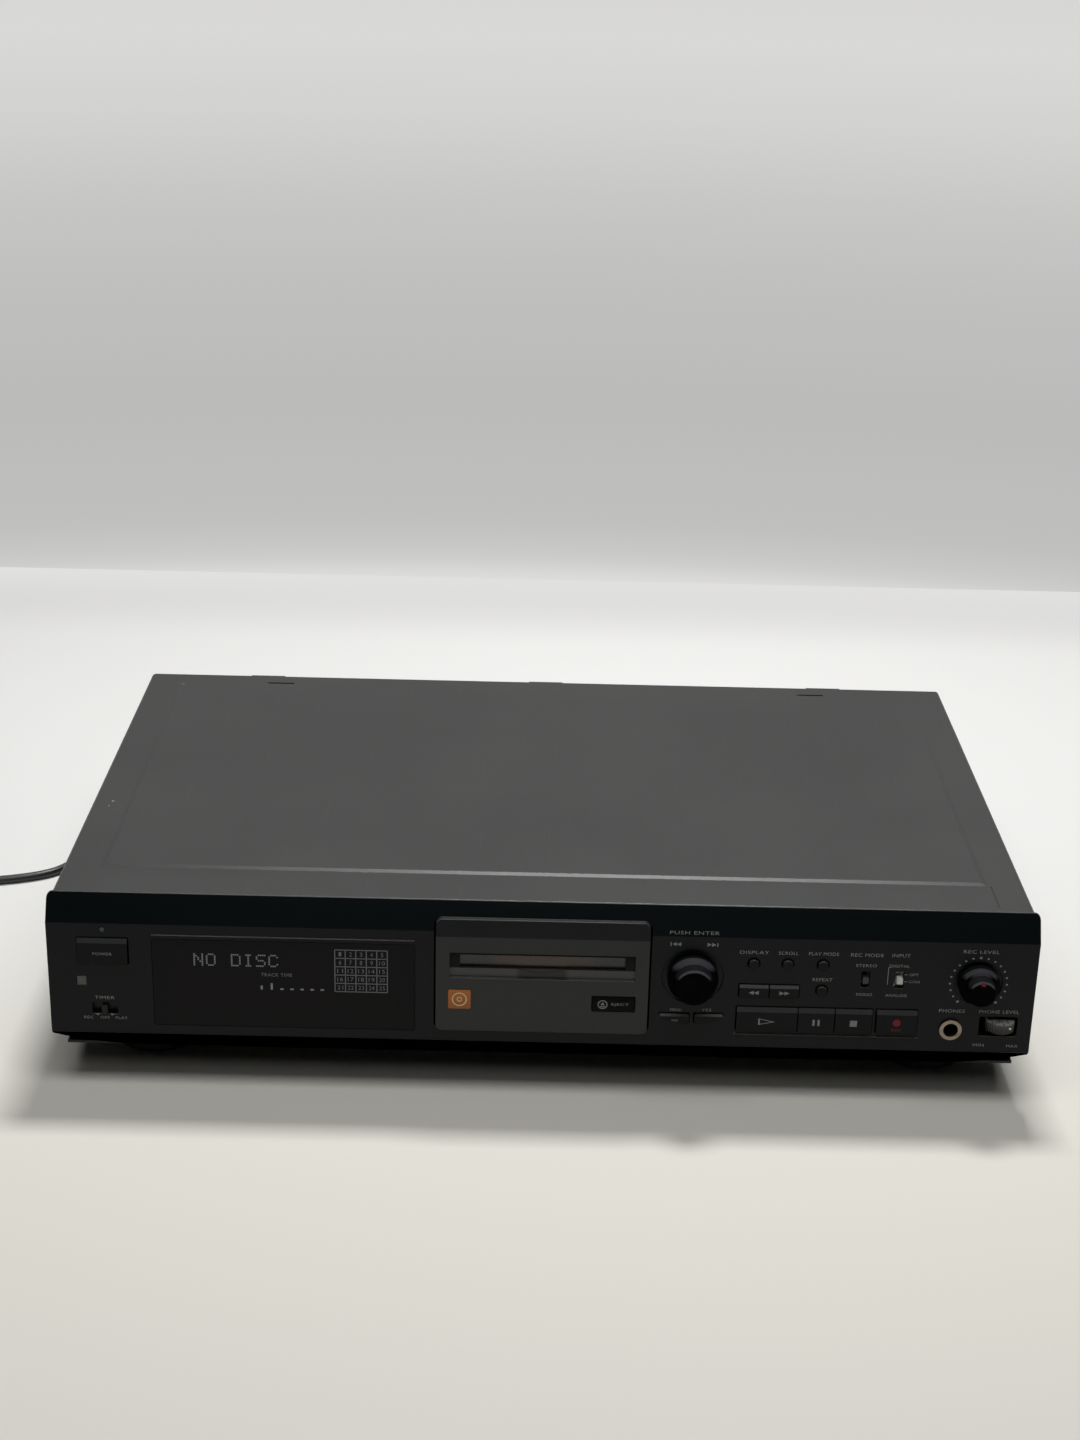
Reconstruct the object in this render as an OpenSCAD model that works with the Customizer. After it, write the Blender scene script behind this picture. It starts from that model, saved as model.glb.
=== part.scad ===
// Full-width minidisc deck with a slot-loading disc mechanism and a captive mains cord.
// Millimetres. X runs to the right seen from the front, Y to the back, Z up.
// The origin is on the surface it stands on, at the middle of its width and depth.

/* [Case] */
// Width of the steel cover
case_w = 426; // [400:1:440]
// Depth of the steel cover
case_d = 265; // [255:1:300]
// Height over everything, feet included
deck_h = 95; // [92:1:110]
// Thickness of the cover's steel
cover_t = 1; // [0.8:0.1:1.4]
// Thickness of the chassis steel
tray_t = 1.2; // [1:0.1:1.6]
// Radius of the cover's bent edges
cover_bend_r = 2.4; // [1.8:0.1:4]
// Rise of the raised field pressed into the cover
field_rise = 0.8; // [0.5:0.1:1.2]
// Steel left flat beside the raised field
field_side = 19; // [12:1:30]
// Steel left flat in front of the raised field
field_front = 26.5; // [15:0.5:40]
// Steel left flat behind the raised field
field_rear = 16; // [12:1:30]

/* [Front panel] */
// How far the moulded front panel reaches past the cover at each side
panel_overhang = 2; // [1:0.5:8]
// Wall of the moulded front panel
panel_wall = 2.5; // [2:0.1:3]
// Height of the leaning band along the top
band_h = 12.3; // [10:0.1:15]
// How far the band leans back, which sets the cover behind the face
band_lean = 6.5; // [5:0.5:9]
// Height of the chin under the face
chin_h = 13.4; // [11:0.1:15]
// How far the chin leans back
chin_lean = 13.4; // [10:0.1:16]
// Length over which the chin tapers away at each end
chin_taper = 38; // [20:1:60]
// Gap under the chin, above the chassis
chin_lift = 1; // [0.5:0.1:2]
// Radius of the panel's upper corners
corner_r = 3; // [2:0.5:5]
// Gap round a button in its opening
button_gap = 0.35; // [0.2:0.05:0.6]
// How far a button stands out of the face
button_proud = 1.4; // [0.8:0.1:2.4]
// Travel of a push button
button_travel = 0.8; // [0.5:0.1:1]
// Travel of the jog dial's push
jog_travel = 0.6; // [0.4:0.1:0.8]
// Distance from the face to the control board behind it
board_back = 14; // [13:0.5:16]
// Thickness of the circuit boards
board_t = 1.6; // [1.2:0.1:2]

/* [Display] */
// Width of the display window
window_w = 114; // [100:1:118]
// Height of the display window
window_h = 42; // [36:1:44]
// Middle of the display window left of the deck's middle
window_x = 112.5; // [110:0.5:114]
// Middle of the display window above the face's lower edge
window_up = 25.5; // [23:0.5:28]

/* [Disc slot] */
// Width of the escutcheon round the slot
plate_w = 92.6; // [90:0.2:96]
// Width of the slot
slot_w = 72; // [70:0.5:73]
// Height of the slot
slot_h = 6.2; // [5.8:0.1:7]
// Middle of the slot above the face's lower edge
slot_up = 39.5; // [38:0.5:41]
// How far the escutcheon stands out of the face
plate_proud = 1.6; // [1:0.1:2.4]

/* [Knobs] */
// Diameter of the jog dial's grip
jog_d = 17; // [14:0.5:18]
// Diameter of the jog dial's skirt
jog_skirt_d = 22; // [20:0.5:24]
// Diameter of the ring pressed in the face round the jog dial
jog_ring_d = 26.8; // [25:0.2:29]
// Jog dial's middle right of the deck's middle
jog_x = 65.4; // [65:0.1:67]
// How far the jog dial stands out of the face
jog_proud = 11; // [8:0.5:13]
// Diameter of the level knob's grip
level_d = 12.4; // [11:0.2:14]
// Diameter of the level knob's skirt
level_skirt_d = 18; // [16:0.5:19]
// Level knob's middle right of the deck's middle
level_x = 189.8; // [189:0.1:191]
// How far the level knob stands out of the face
level_proud = 11; // [8:0.5:13]
// Height of both knobs above the face's lower edge
knob_up = 34; // [33:0.5:35]
// Radius of the phones level thumbwheel
wheel_r = 6.5; // [6:0.1:7.2]
// How far the thumbwheel stands out of the face
wheel_proud = 3; // [2:0.1:3.5]
// Thickness of the thumbwheel
wheel_t = 5.5; // [4.5:0.1:6]
// Diameter of the phones socket's bore
phones_d = 6.5; // [6.4:0.05:6.6]

/* [Feet] */
// Height of the feet
foot_h = 14; // [10:1:16]
// Diameter of the feet
foot_d = 45; // [38:1:50]
// Feet's middle in from the cover's side
foot_in = 36; // [30:1:60]
// Front feet's middle behind the face
foot_back = 52; // [50:1:70]

/* [Disc mechanism] */
// Length of the disc holder
holder_l = 71; // [70:0.5:72]
// Drop of the disc holder onto the turntable
holder_drop = 4.5; // [4:0.1:5]
// Travel of the loading slider
slider_travel = 12; // [10:0.5:13]
// Travel of the optical pickup
pickup_travel = 14; // [12:0.5:15]
// Module of the rack and its pinion
rack_module = 0.8; // [0.7:0.05:0.9]
// Teeth on the pinion that drives the rack
pinion_teeth = 14; // [13:1:15]
// Module of the motor's gears
motor_module = 0.5; // [0.4:0.05:0.5]
// Teeth on the loading gear's wheel
wheel_teeth = 32; // [28:4:32]
// Teeth on the motor pinion
motor_teeth = 16; // [16:2:20]

/* [Rear] */
// How far the line jacks stand out of the rear panel
jack_proud = 9; // [7:0.5:11]
// Diameter of a line jack's barrel
jack_d = 8.3; // [8:0.1:8.6]
// Spacing of the line jacks
jack_pitch = 14; // [12:0.5:18]
// Leftmost line jacks' middle right of the deck's middle
jack_x = 104; // [95:1:110]
// Cord's exit left of the deck's middle
cord_x = 170; // [150:1:180]
// Height of the cord's exit
cord_z = 32; // [30:1:40]
// Diameter of the mains cord
cord_d = 4.5; // [4:0.1:5]
// Length of the strain relief outside the rear panel
relief_l = 24; // [20:1:40]

/* [Hidden] */
$fn = 48;
eps = 0.01;
panel_w = case_w + 2 * panel_overhang;
foot_x = case_w / 2 - foot_in;
// the controls are placed for a panel 430 wide, and spread or draw together with it
spread = panel_w / 430;
function key_place(x, up, w, h) = [x * spread, up, w * spread, h];
function spot(x, up) = [x * spread, up];
jog_mid = jog_x * spread;
level_mid = level_x * spread;
window_mid = window_x * spread;

// running and standing clearances
seat_gap = 0.3;
side_gap = 0.15;
shaft_gap = 0.05;
screw_gap = 0.2;

// heights
cover_z = deck_h - field_rise;
chin_z = foot_h + chin_lift;
face_z = chin_z + chin_h;
face_top = cover_z - band_h;
face_h = face_top - face_z;
floor_z = foot_h + tray_t;

// depths, the knobs standing out in front and the line jacks behind
front_reach = max(jog_proud, level_proud);
total_d = front_reach + band_lean + case_d + jack_proud;
face_y = front_reach - total_d / 2;
cover_y = face_y + band_lean;
rear_y = cover_y + case_d;
tray_w = case_w - 2 * cover_t - 2 * side_gap;
tray_y = face_y + chin_lean + 2;
board_y = face_y + board_back;
board_low = 3;
board_high = face_h - 1.5;

// push buttons: [x, height above the face's lower edge, width, height]
power_at = key_place(-190.8, 40.2, 21.7, 12.5);
eject_at = [plate_w / 2 - 15, 20.5, 18.4, 7];
menu_at = key_place(58.2, 13.6, 12.8, 4.6);
yes_at = key_place(73.1, 13.8, 12.4, 4.6);
rewind_at = key_place(92.3, 27.9, 12.7, 6.2);
forward_at = key_place(105.5, 27.9, 12.7, 6.2);
play_at = key_place(98.7, 14.1, 26.6, 11.8);
pause_at = key_place(120.3, 14.1, 15.8, 11.8);
stop_at = key_place(136.7, 14.1, 16.2, 11.8);
record_at = key_place(155.6, 14.1, 17.8, 11.8);
// round buttons: [x, height above the face's lower edge]
round_d = 4.9;
display_at = spot(91.6, 41.1);
scroll_at = spot(106.4, 41.1);
play_mode_at = spot(121.7, 41.1);
repeat_at = spot(121.9, 28.7);
// slide switches: [x, height, slot width, slot height, knob width, knob height, throw]
timer_at = [-191 * spread, 12, 11.2, 5.4, 2.5, 4.2, 3];
rec_mode_at = [140.5 * spread, 34.7, 3.6, 7.8, 2.5, 3.2, 1.6];
input_at = [155.3 * spread, 34.7, 3.9, 8.2, 2.7, 2.9, 1.8];
lamp_at = spot(-190.6, 50.7);
sensor_at = spot(-200.6, 25.6);
phones_at = spot(179.5, 11.1);
wheel_at = spot(201.8, 12.8);
wing_low = 11.2;
wing_r = 28.6;
plate_low = 5.8;
plate_high = face_h + 5.5;
plate_bevel = 7.4;
rounds = [display_at, scroll_at, play_mode_at, repeat_at];
keys = [power_at, eject_at, menu_at, yes_at, rewind_at, forward_at, play_at, pause_at, stop_at,
  record_at, display_at, scroll_at, play_mode_at, repeat_at];
// parts of the panel, its keys and the pieces behind them
window_t = 1.6;
ring_sink = 0.8;
bush_d = 9;
control_shaft = 6;
phones_bush = 8.8;
phones_body = 12;
phones_l = 30;
plate_hole_w = slot_w + 13;
plate_hole_h = 36;
plate_hole_up = slot_up - 6;
throat_l = 12.6;
throat_h = slot_h + 6.8;
shutter_pin = 1.6;
shutter_y = 1.9;
shutter_up = slot_up + slot_h / 2 + 0.9;
flange_t = 1;
key_h = 3.5;
key_pin = 0.6;
stem_end = board_back - key_h - key_pin - button_travel - 0.1;
switch_front = board_back - 5;
encoder_front = board_back - 6.5;
jack_depth = 16;
bosses = [spot(-176, 20), spot(-50, 8), spot(-50, 48), spot(66, 5.6), spot(99, 48.6), spot(171, 26), spot(171, 48.6)];

// ---------- shared shapes ----------

// mitred inset of a convex outline that runs anticlockwise
function unit(v) = v / norm(v);
function inset_at(a, b, c, t) =
  let (n0 = unit([-(b - a).y, (b - a).x]), n1 = unit([-(c - b).y, (c - b).x]))
  b + t * (n0 + n1) / (1 + n0 * n1);
function inset_outline(p, t) =
  [for (i = [0:len(p) - 1]) inset_at(p[(i + len(p) - 1) % len(p)], p[i], p[(i + 1) % len(p)], t)];

// flat rectangle with round corners, drawn about its middle
module round_rect(w, h, r) {
  square([w - 2 * r, h], center = true);
  square([w, h - 2 * r], center = true);
  for (x = [-1, 1], y = [-1, 1]) {
    translate([x * (w / 2 - r), y * (h / 2 - r)]) circle(r = r, $fn = 32);
  }
}

// an outline drawn in X and Z, made t thick from y = 0 to the back
module upright(t) {
  translate([0, t, 0]) rotate([90, 0, 0]) linear_extrude(t) children();
}

// an outline drawn in Y and Z, made w wide about x = 0
module sideways(w) {
  translate([-w / 2, 0, 0]) rotate([90, 0, 90]) linear_extrude(w) children();
}

module slab(w, h, t, r = 0) {
  upright(t) if (r > 0) round_rect(w, h, r); else square([w, h], center = true);
}

// a rod along Y that starts at y = 0
module rod(d, l) {
  rotate([-90, 0, 0]) cylinder(d = d, h = l);
}

// a bar along X about x = 0
module bar(d, l) {
  rotate([0, 90, 0]) cylinder(d = d, h = l, center = true);
}

// a place on the face: x, height above the face's lower edge, depth behind the face
module on_face(x, up, back = 0) {
  translate([x, face_y + back, face_z + up]) children();
}

// ---------- case ----------

module bent_cover_outline(w, low, high, r) {
  translate([-w / 2, low]) square([w, high - r - low]);
  translate([-w / 2 + r, low]) square([w - 2 * r, high - low]);
  for (s = [-1, 1]) translate([s * (w / 2 - r), high - r]) circle(r = r, $fn = 48);
}

screw_d = 3;
corner_cut = 18;
screw_head = 5.6;
cover_screw_y = [60, case_d - 45];
cover_screw_z = face_z + 4;
tab_w = 18;
tab_drop = 12;
tab_x = [for (s = [-1, 0, 1]) s * (case_w / 2 - 63)];
tab_screw_z = cover_z - cover_t - 7;
rear_slot_x = case_w / 3;
rear_slot_w = 14;

// the raised field, its sides sloping, as two crossing prisms
module raised_field(rise) {
  slope = 2;
  w = case_w - 2 * field_side;
  y0 = field_front;
  y1 = case_d - field_rear;
  translate([0, cover_y, cover_z]) intersection() {
    upright(case_d) polygon([[-w / 2 - slope, -eps], [w / 2 + slope, -eps], [w / 2, rise], [-w / 2, rise]]);
    sideways(case_w) polygon([[y0 - slope, -eps], [y1 + slope, -eps], [y1, rise], [y0, rise]]);
  }
}

module top_cover() {
  color("#2a2b2e") difference() {
    union() {
      translate([0, cover_y, 0]) upright(case_d)
        bent_cover_outline(case_w, chin_z, cover_z, cover_bend_r);
      raised_field(field_rise);
      for (x = tab_x) {
        translate([x - tab_w / 2, rear_y, cover_z - tab_drop]) cube([tab_w, cover_t, tab_drop]);
        translate([x - tab_w / 2, rear_y - 3, cover_z - cover_t]) cube([tab_w, 3 + cover_t, cover_t]);
      }
    }
    translate([0, cover_y - eps, 0]) upright(case_d + eps)
      bent_cover_outline(case_w - 2 * cover_t, chin_z - 1, cover_z - cover_t, cover_bend_r - cover_t + eps);
    translate([0, 0, -cover_t]) raised_field(field_rise);
    for (s = [-1, 1], y = cover_screw_y) {
      translate([s * case_w / 2, cover_y + y, cover_screw_z]) bar(screw_d + screw_gap, 6);
    }
    for (x = tab_x) translate([x, rear_y - 1, tab_screw_z]) rod(screw_d + screw_gap, 4);
    for (s = [-1, 1]) {
      translate([s * rear_slot_x - rear_slot_w / 2, rear_y - 10.7, cover_z - 2]) cube([rear_slot_w, 1.6, 4]);
    }
    // front lower corners of the sides, cut back behind the tapered chin
    translate([0, cover_y, chin_z]) sideways(case_w + 4) polygon([[-0.1 * corner_cut, -0.1 * chin_h],
      [1.1 * corner_cut, -0.1 * chin_h], [-0.1 * corner_cut, 1.1 * chin_h]]);
    // shallow groove beside the raised field's front corner
    translate([case_w / 2 - field_side + 3.2, cover_y + 3.4, cover_z - 0.3]) cube([0.7, field_front - 6, 1]);
  }
}

flange_h = 24;
vent_count = 14;
vent_pitch = 6;
vent_l = 34;
post_d = 6;
main_board_z = floor_z + 8;
board_w = 130;
board_side = 9.85;
main_board_at = [tray_w / 2 - board_side - board_w, face_y + 34];
main_board_size = [board_w, rear_y - 3 - main_board_at.y];
board_posts = [for (x = [6, main_board_size.x - 6], y = [6, main_board_size.y - 30]) main_board_at + [x, y]];
front_foot_y = face_y + foot_back;
rear_foot_y = rear_y - foot_d / 2 - 12;
foot_places = [for (x = [-foot_x, foot_x], y = [front_foot_y, rear_foot_y]) [x, y]];

module chassis_tray() {
  l = rear_y - tray_y;
  color("#8d8f90") difference() {
    union() {
      translate([-tray_w / 2, tray_y, foot_h]) cube([tray_w, l, tray_t]);
      for (s = [0, 1]) {
        translate([-tray_w / 2 + s * (tray_w - tray_t), cover_y + corner_cut + 1, foot_h])
          cube([tray_t, case_d - corner_cut - 1 - tray_t - side_gap, flange_h]);
      }
      translate([-tray_w / 2, tray_y + 3, foot_h]) cube([tray_w, tray_t, flange_h - 7]);
      for (p = board_posts) translate([p.x, p.y, foot_h]) cylinder(d = post_d, h = main_board_z - foot_h);
      for (x = [-150, -50, 50]) translate([x, rear_y - 40, floor_z - eps]) cube([30, 3, 1.5]);
    }
    for (p = foot_places) translate([p.x, p.y, foot_h - 1]) cylinder(d = screw_d + screw_gap, h = 5);
    for (p = board_posts) translate([p.x, p.y, foot_h - 1]) cylinder(d = 2.5, h = 20);
    for (i = [0:vent_count - 1], y = [rear_y - 110, face_y + 95]) {
      translate([-58 + i * vent_pitch, y, foot_h - 1]) cube([2.4, vent_l, 4]);
    }
    for (x = panel_tabs) {
      translate([x, tray_y + 6.5, foot_h - 1]) cylinder(d = screw_d + screw_gap, h = 4);
      translate([x - 12.4, tray_y + 2, floor_z]) cube([24.8, 4, 2.8]);
    }
    for (s = [-1, 1], y = cover_screw_y) {
      translate([s * tray_w / 2, cover_y + y, cover_screw_z]) bar(screw_d + screw_gap, 6);
    }
  }
}

rear_t = tray_t;
jack_neck = jack_d - 1;
jack_flange_t = 0.8;
jack_rows = [cord_z + 14, cord_z + 32];
jack_cols = [jack_x, jack_x + jack_pitch + 6];
digital_x = jack_x + 2 * jack_pitch + 20;
digital_w = 13;
digital_z = [for (i = [0:2]) cord_z + 6 + i * 17];
relief_hole = 12;

module rear_panel() {
  z0 = floor_z;
  color("#1d1e20") difference() {
    translate([0, rear_y - rear_t, 0]) upright(rear_t)
      bent_cover_outline(tray_w, z0, cover_z - cover_t - side_gap, cover_bend_r);
    translate([-cord_x, rear_y - 3, cord_z]) rod(relief_hole + 2 * side_gap, 6);
    for (x = jack_cols, z = jack_rows) {
      translate([x, rear_y - 3, z]) rod(jack_neck + 2 * side_gap, 6);
    }
    for (z = digital_z) translate([digital_x, rear_y - 3, z]) slab(digital_w, digital_w - 2, 6, 0.8);
    for (x = tab_x) translate([x, rear_y - 4, tab_screw_z]) rod(screw_d + screw_gap, 8);
  }
}

module feet() {
  color("#1a1a1c") for (p = foot_places) translate([p.x, p.y, 0]) difference() {
    union() {
      translate([0, 0, 1.5]) cylinder(d = foot_d - 3, h = foot_h - 1.5);
      translate([0, 0, foot_h - 5]) cylinder(d = foot_d, h = 5);
    }
    translate([0, 0, -1]) cylinder(d = 12, h = foot_h - 2);
    translate([0, 0, -1]) cylinder(d = screw_d + screw_gap, h = foot_h + 3);
    translate([0, 0, 1]) difference() {
      cylinder(d = foot_d - 6, h = 2);
      translate([0, 0, -1]) cylinder(d = 18, h = 6);
    }
  }
}

module foot_pads() {
  color("#5a5a58") for (p = foot_places) translate([p.x, p.y, 0]) difference() {
    cylinder(d = foot_d - 6.6, h = 3);
    translate([0, 0, -1]) cylinder(d = 18.6, h = 6);
  }
}

module screw(l) {
  difference() {
    union() {
      rod(screw_head, 1.6);
      translate([0, 1.6 - eps, 0]) rod(screw_d - 0.3, l);
    }
    for (a = [0, 90]) translate([0, -eps, 0]) rotate([0, a, 0]) slab(3, 0.7, 1);
  }
}

module screws() {
  color("#141415") {
    for (s = [-1, 1], y = cover_screw_y) {
      translate([s * (case_w / 2 + 1.65), cover_y + y, cover_screw_z]) rotate([0, 0, s * 90]) screw(5);
    }
    for (x = tab_x) translate([x, rear_y + cover_t + 1.65, tab_screw_z]) rotate([0, 0, 180]) screw(5);
    for (b = bosses) on_face(b.x, b.y, board_back + board_t + 1.65) rotate([0, 0, 180]) screw(6);
    for (p = foot_places) translate([p.x, p.y, foot_h - 3 - 1.65]) rotate([90, 0, 0]) screw(6);
  }
}

// ---------- front panel ----------

// the panel from the side, anticlockwise, y behind the face and z up
panel_side = [[band_lean, cover_z], [0, face_top], [0, face_z], [chin_lean, chin_z],
  [chin_lean + 40, chin_z], [chin_lean + 40, cover_z]];
panel_tabs = [-120, 0, 120];

// the panel from the front: its lower corners taper up along an arc, its upper ones are round
function taper_arc(half, low, rise) =
  let (r = (chin_taper * chin_taper + rise * rise) / (2 * rise))
  [for (i = [0:6]) let (x = chin_taper * i / 6) [half - chin_taper + x, low + r - sqrt(r * r - x * x)]];
function top_arc(half, high, r) = [for (a = [0:22.5:90]) [half - r + r * cos(a), high - r + r * sin(a)]];
function right_side(half, low, high, r) =
  concat(taper_arc(half, low, chin_h - 2), top_arc(half, high, r));
function both_sides(p) = concat(p, [for (i = [len(p) - 1:-1:0]) [-p[i].x, p[i].y]]);

module panel_front(inset) {
  polygon(both_sides(right_side(panel_w / 2 - inset, chin_z + inset, cover_z + (inset > 0 ? 5 : 0),
    corner_r)));
}

module opening(at, gap = button_gap, r = 0.4) {
  on_face(at[0], at[1], -3) slab(at[2] + 2 * gap, at[3] + 2 * gap, 9, r);
}

module front_panel() {
  inner_side = inset_outline(panel_side, panel_wall);
  color("#202324") difference() {
    union() {
      difference() {
        translate([0, face_y, 0]) intersection() {
          sideways(panel_w) polygon(panel_side);
          upright(60) panel_front(0);
        }
        // hollow behind the wall
        translate([0, face_y, 0]) intersection() {
          sideways(panel_w) polygon(concat([for (i = [0:3]) inner_side[i]], [[80, chin_z + panel_wall], [80, 120], [inner_side[0].x, 120]]));
          upright(90) panel_front(panel_wall);
        }
        // cut off at the cover, and behind the chin
        translate([-panel_w, cover_y, face_z - 3]) cube([2 * panel_w, 90, 90]);
        translate([-panel_w, face_y + chin_lean + 1.5, 0]) cube([2 * panel_w, 90, 90]);
        for (s = [-1, 1]) translate([s * (tray_w / 2 + panel_w / 2 - 1), cover_y + 45, 30]) cube([panel_w, 90, 60], center = true);
      }
      for (b = bosses) on_face(b.x, b.y, panel_wall - eps) rod(post_d, board_back - panel_wall + eps);
      // tabs that rest on the chassis
      for (x = panel_tabs) translate([x - 12, face_y + chin_lean, floor_z]) cube([24, 12, chin_z + panel_wall - floor_z]);
      // ridges over the window and under the transport keys
      on_face(-window_mid, window_up + window_h / 2 + 1.7, -0.5) slab(window_w, 0.8, 1);
      on_face(125 * spread, 6.2, -0.7) slab(81 * spread, 1, 1);
    }
    for (b = bosses) on_face(b.x, b.y, board_back - 7) rod(2.9, 8);
    for (x = panel_tabs) translate([x, tray_y + 6.5, floor_z - 1]) cylinder(d = 2.5, h = 8);
    for (k = [power_at, record_at]) opening(k);
    // the wings' openings, their lower edges curved
    intersection() {
      union() for (k = [menu_at, yes_at]) opening(k);
      on_face(jog_mid, wing_low + wing_r, -4) rod(2 * (wing_r + button_gap), 12);
    }
    opening([(rewind_at[0] + forward_at[0]) / 2, rewind_at[1], forward_at[0] - rewind_at[0] + rewind_at[2], rewind_at[3]]);
    opening([(play_at[0] - play_at[2] / 2 + stop_at[0] + stop_at[2] / 2) / 2, play_at[1],
      stop_at[0] + stop_at[2] / 2 - play_at[0] + play_at[2] / 2, play_at[3]]);
    for (p = rounds) on_face(p.x, p.y, -3) rod(round_d + 2 * button_gap, 9);
    for (s = [timer_at, rec_mode_at, input_at]) opening(s, 0, 0.5);
    on_face(lamp_at.x, lamp_at.y, -3) rod(2 + 2 * side_gap, 9);
    on_face(sensor_at.x, sensor_at.y, -3) slab(4.3, 4.3, 9);
    // window seat and the hole behind it
    on_face(-window_mid, window_up, -3) slab(window_w + 0.3, window_h + 0.3, 3 + window_t, 1);
    on_face(-window_mid, window_up, -3) slab(window_w - 5, window_h - 5, 9, 1);
    // hole behind the escutcheon
    on_face(0, plate_hole_up, -3) slab(plate_hole_w, plate_hole_h, 12, 1);
    // jog dial: sunk ring and shaft hole
    on_face(jog_mid, knob_up, -1) rod(jog_ring_d, 1 + ring_sink);
    on_face(jog_mid, knob_up, -3) rod(bush_d + 2 * side_gap, 9);
    // level knob: sunk ring and shaft hole
    on_face(level_mid, knob_up, -1) rod(level_skirt_d + 3, 1 + ring_sink);
    on_face(level_mid, knob_up, -3) rod(bush_d + 2 * side_gap, 9);
    on_face(phones_at.x, phones_at.y, -3) rod(phones_bush + 2 * side_gap, 9);
    on_face(wheel_at.x - 1.5, wheel_at.y, -3) slab(2 * wheel_r + 3.8, wheel_t + 4, 9, 0.8);
  }
}

module display_window() {
  color("#1b1a1c") on_face(-window_mid, window_up, 0.05) slab(window_w, window_h, window_t - 0.05, 0.8);
}

// the escutcheon from the side: flat front, bevelled head, back resting on face and band
module disc_escutcheon() {
  band_at = band_lean / band_h;
  low = face_z + plate_low;
  high = face_z + plate_high;
  color("#3c3f3f") difference() {
    union() {
      intersection() {
        translate([0, face_y, 0]) sideways(plate_w) polygon([[-plate_proud, low], [0, low], [0, face_top],
          [(high - face_top) * band_at, high], [0.6, high], [-plate_proud, high - plate_bevel]]);
        translate([0, face_y - 10, (low + high) / 2]) slab(plate_w, high - low, 30, 2.6);
      }
      on_face(0, plate_hole_up, -eps) slab(plate_hole_w - 0.4, plate_hole_h - 0.4, panel_wall, 1);
      // throat behind the slot
      on_face(0, slot_up + 0.6, panel_wall - eps) slab(slot_w + 8, throat_h, throat_l - panel_wall);
    }
    // sunk frame round the slot
    on_face(0, slot_up - 1.6, -plate_proud - 1) slab(slot_w + 8.6, slot_h + 6, 1 + 1.2, 0.5);
    // slot, and the wider space behind it where the shutter turns
    on_face(0, slot_up, -5) slab(slot_w, slot_h, 40);
    on_face(0, slot_up + 1.1, shutter_y - 1.1) slab(slot_w + 1.2, slot_h + 2.8, 40);
    // dip for a fingertip in the lower lip
    intersection() {
      on_face(0, slot_up - slot_h / 2 - 2 + 30, -5) rod(60, 5);
      on_face(0, slot_up - slot_h / 2 - 1, -5) slab(21.6, 2.4, 5);
    }
    // bores for the shutter's pins
    on_face(0, shutter_up, shutter_y) bar(shutter_pin + 2 * shaft_gap, slot_w + 5);
    // eject key
    on_face(eject_at[0], eject_at[1], -5) slab(eject_at[2] + 2 * button_gap, eject_at[3] + 2 * button_gap, 20, 0.4);
  }
}
module slot_shutter() {
  color("#3a3331") {
    on_face(0, shutter_up - slot_h / 2 - 0.5, shutter_y - 0.5) slab(slot_w + 0.6, slot_h + 1, 1);
    on_face(0, shutter_up, shutter_y) bar(shutter_pin, slot_w + 4);
  }
}

module standby_lamp() {
  color("#4c9a58") {
    on_face(lamp_at.x, lamp_at.y, -0.2) rod(2, board_back + 0.2 - 4);
    on_face(lamp_at.x, lamp_at.y, board_back - 4) rod(3, 4);
  }
}

module remote_sensor() {
  color("#8a8a88") {
    on_face(sensor_at.x, sensor_at.y, 0.1) slab(4, 4, panel_wall);
    on_face(sensor_at.x, sensor_at.y, panel_wall + 0.1 - eps) slab(6, 6, board_back - panel_wall - 0.1 + eps);
  }
}

// ---------- buttons and switches ----------

// cap with a broad bevel along its top edge, a flange behind the wall and a stem to the key switch
module key_body(w, h, back, proud) {
  bevel = min(2, h / 5);
  sideways(w) polygon([[-proud, -h / 2 + 0.3], [-proud + 0.3, -h / 2], [back, -h / 2], [back, h / 2],
    [-proud + 0.9, h / 2], [-proud, h / 2 - bevel]]);
}

module push_button(at, shade, proud = button_proud, back = panel_wall + seat_gap) {
  color(shade) on_face(at[0], at[1]) {
    key_body(at[2], at[3], back + flange_t, proud);
    translate([0, back, 0]) slab(at[2], at[3] + 2.4, flange_t);
    translate([0, back, 0]) rod(3, stem_end - back);
  }
}

module round_button(p) {
  color("#26292a") on_face(p.x, p.y) {
    rotate([-90, 0, 0]) translate([0, 0, -button_proud]) rotate_extrude()
      polygon([[0, 0], [round_d / 2 - 0.4, 0], [round_d / 2, 0.4], [round_d / 2, button_proud + panel_wall + seat_gap],
        [round_d / 2 + 1, button_proud + panel_wall + seat_gap],
        [round_d / 2 + 1, button_proud + panel_wall + seat_gap + flange_t], [0, button_proud + panel_wall + seat_gap + flange_t]]);
    translate([0, panel_wall + seat_gap, 0]) rod(2.6, stem_end - panel_wall - seat_gap);
  }
}

module power_button() { push_button(power_at, "#232627"); }
module eject_button() { push_button(eject_at, "#141516", plate_proud + 0.5); }
module play_button() { push_button(play_at, "#232627"); }
module pause_button() { push_button(pause_at, "#232627"); }
module stop_button() { push_button(stop_at, "#232627"); }
module record_button() { push_button(record_at, "#232627"); }
module rewind_button() { push_button(rewind_at, "#232627"); }
module fast_forward_button() { push_button(forward_at, "#232627"); }
module display_button() { round_button(display_at); }
module scroll_button() { round_button(scroll_at); }
module play_mode_button() { round_button(play_mode_at); }
module repeat_button() { round_button(repeat_at); }

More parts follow.
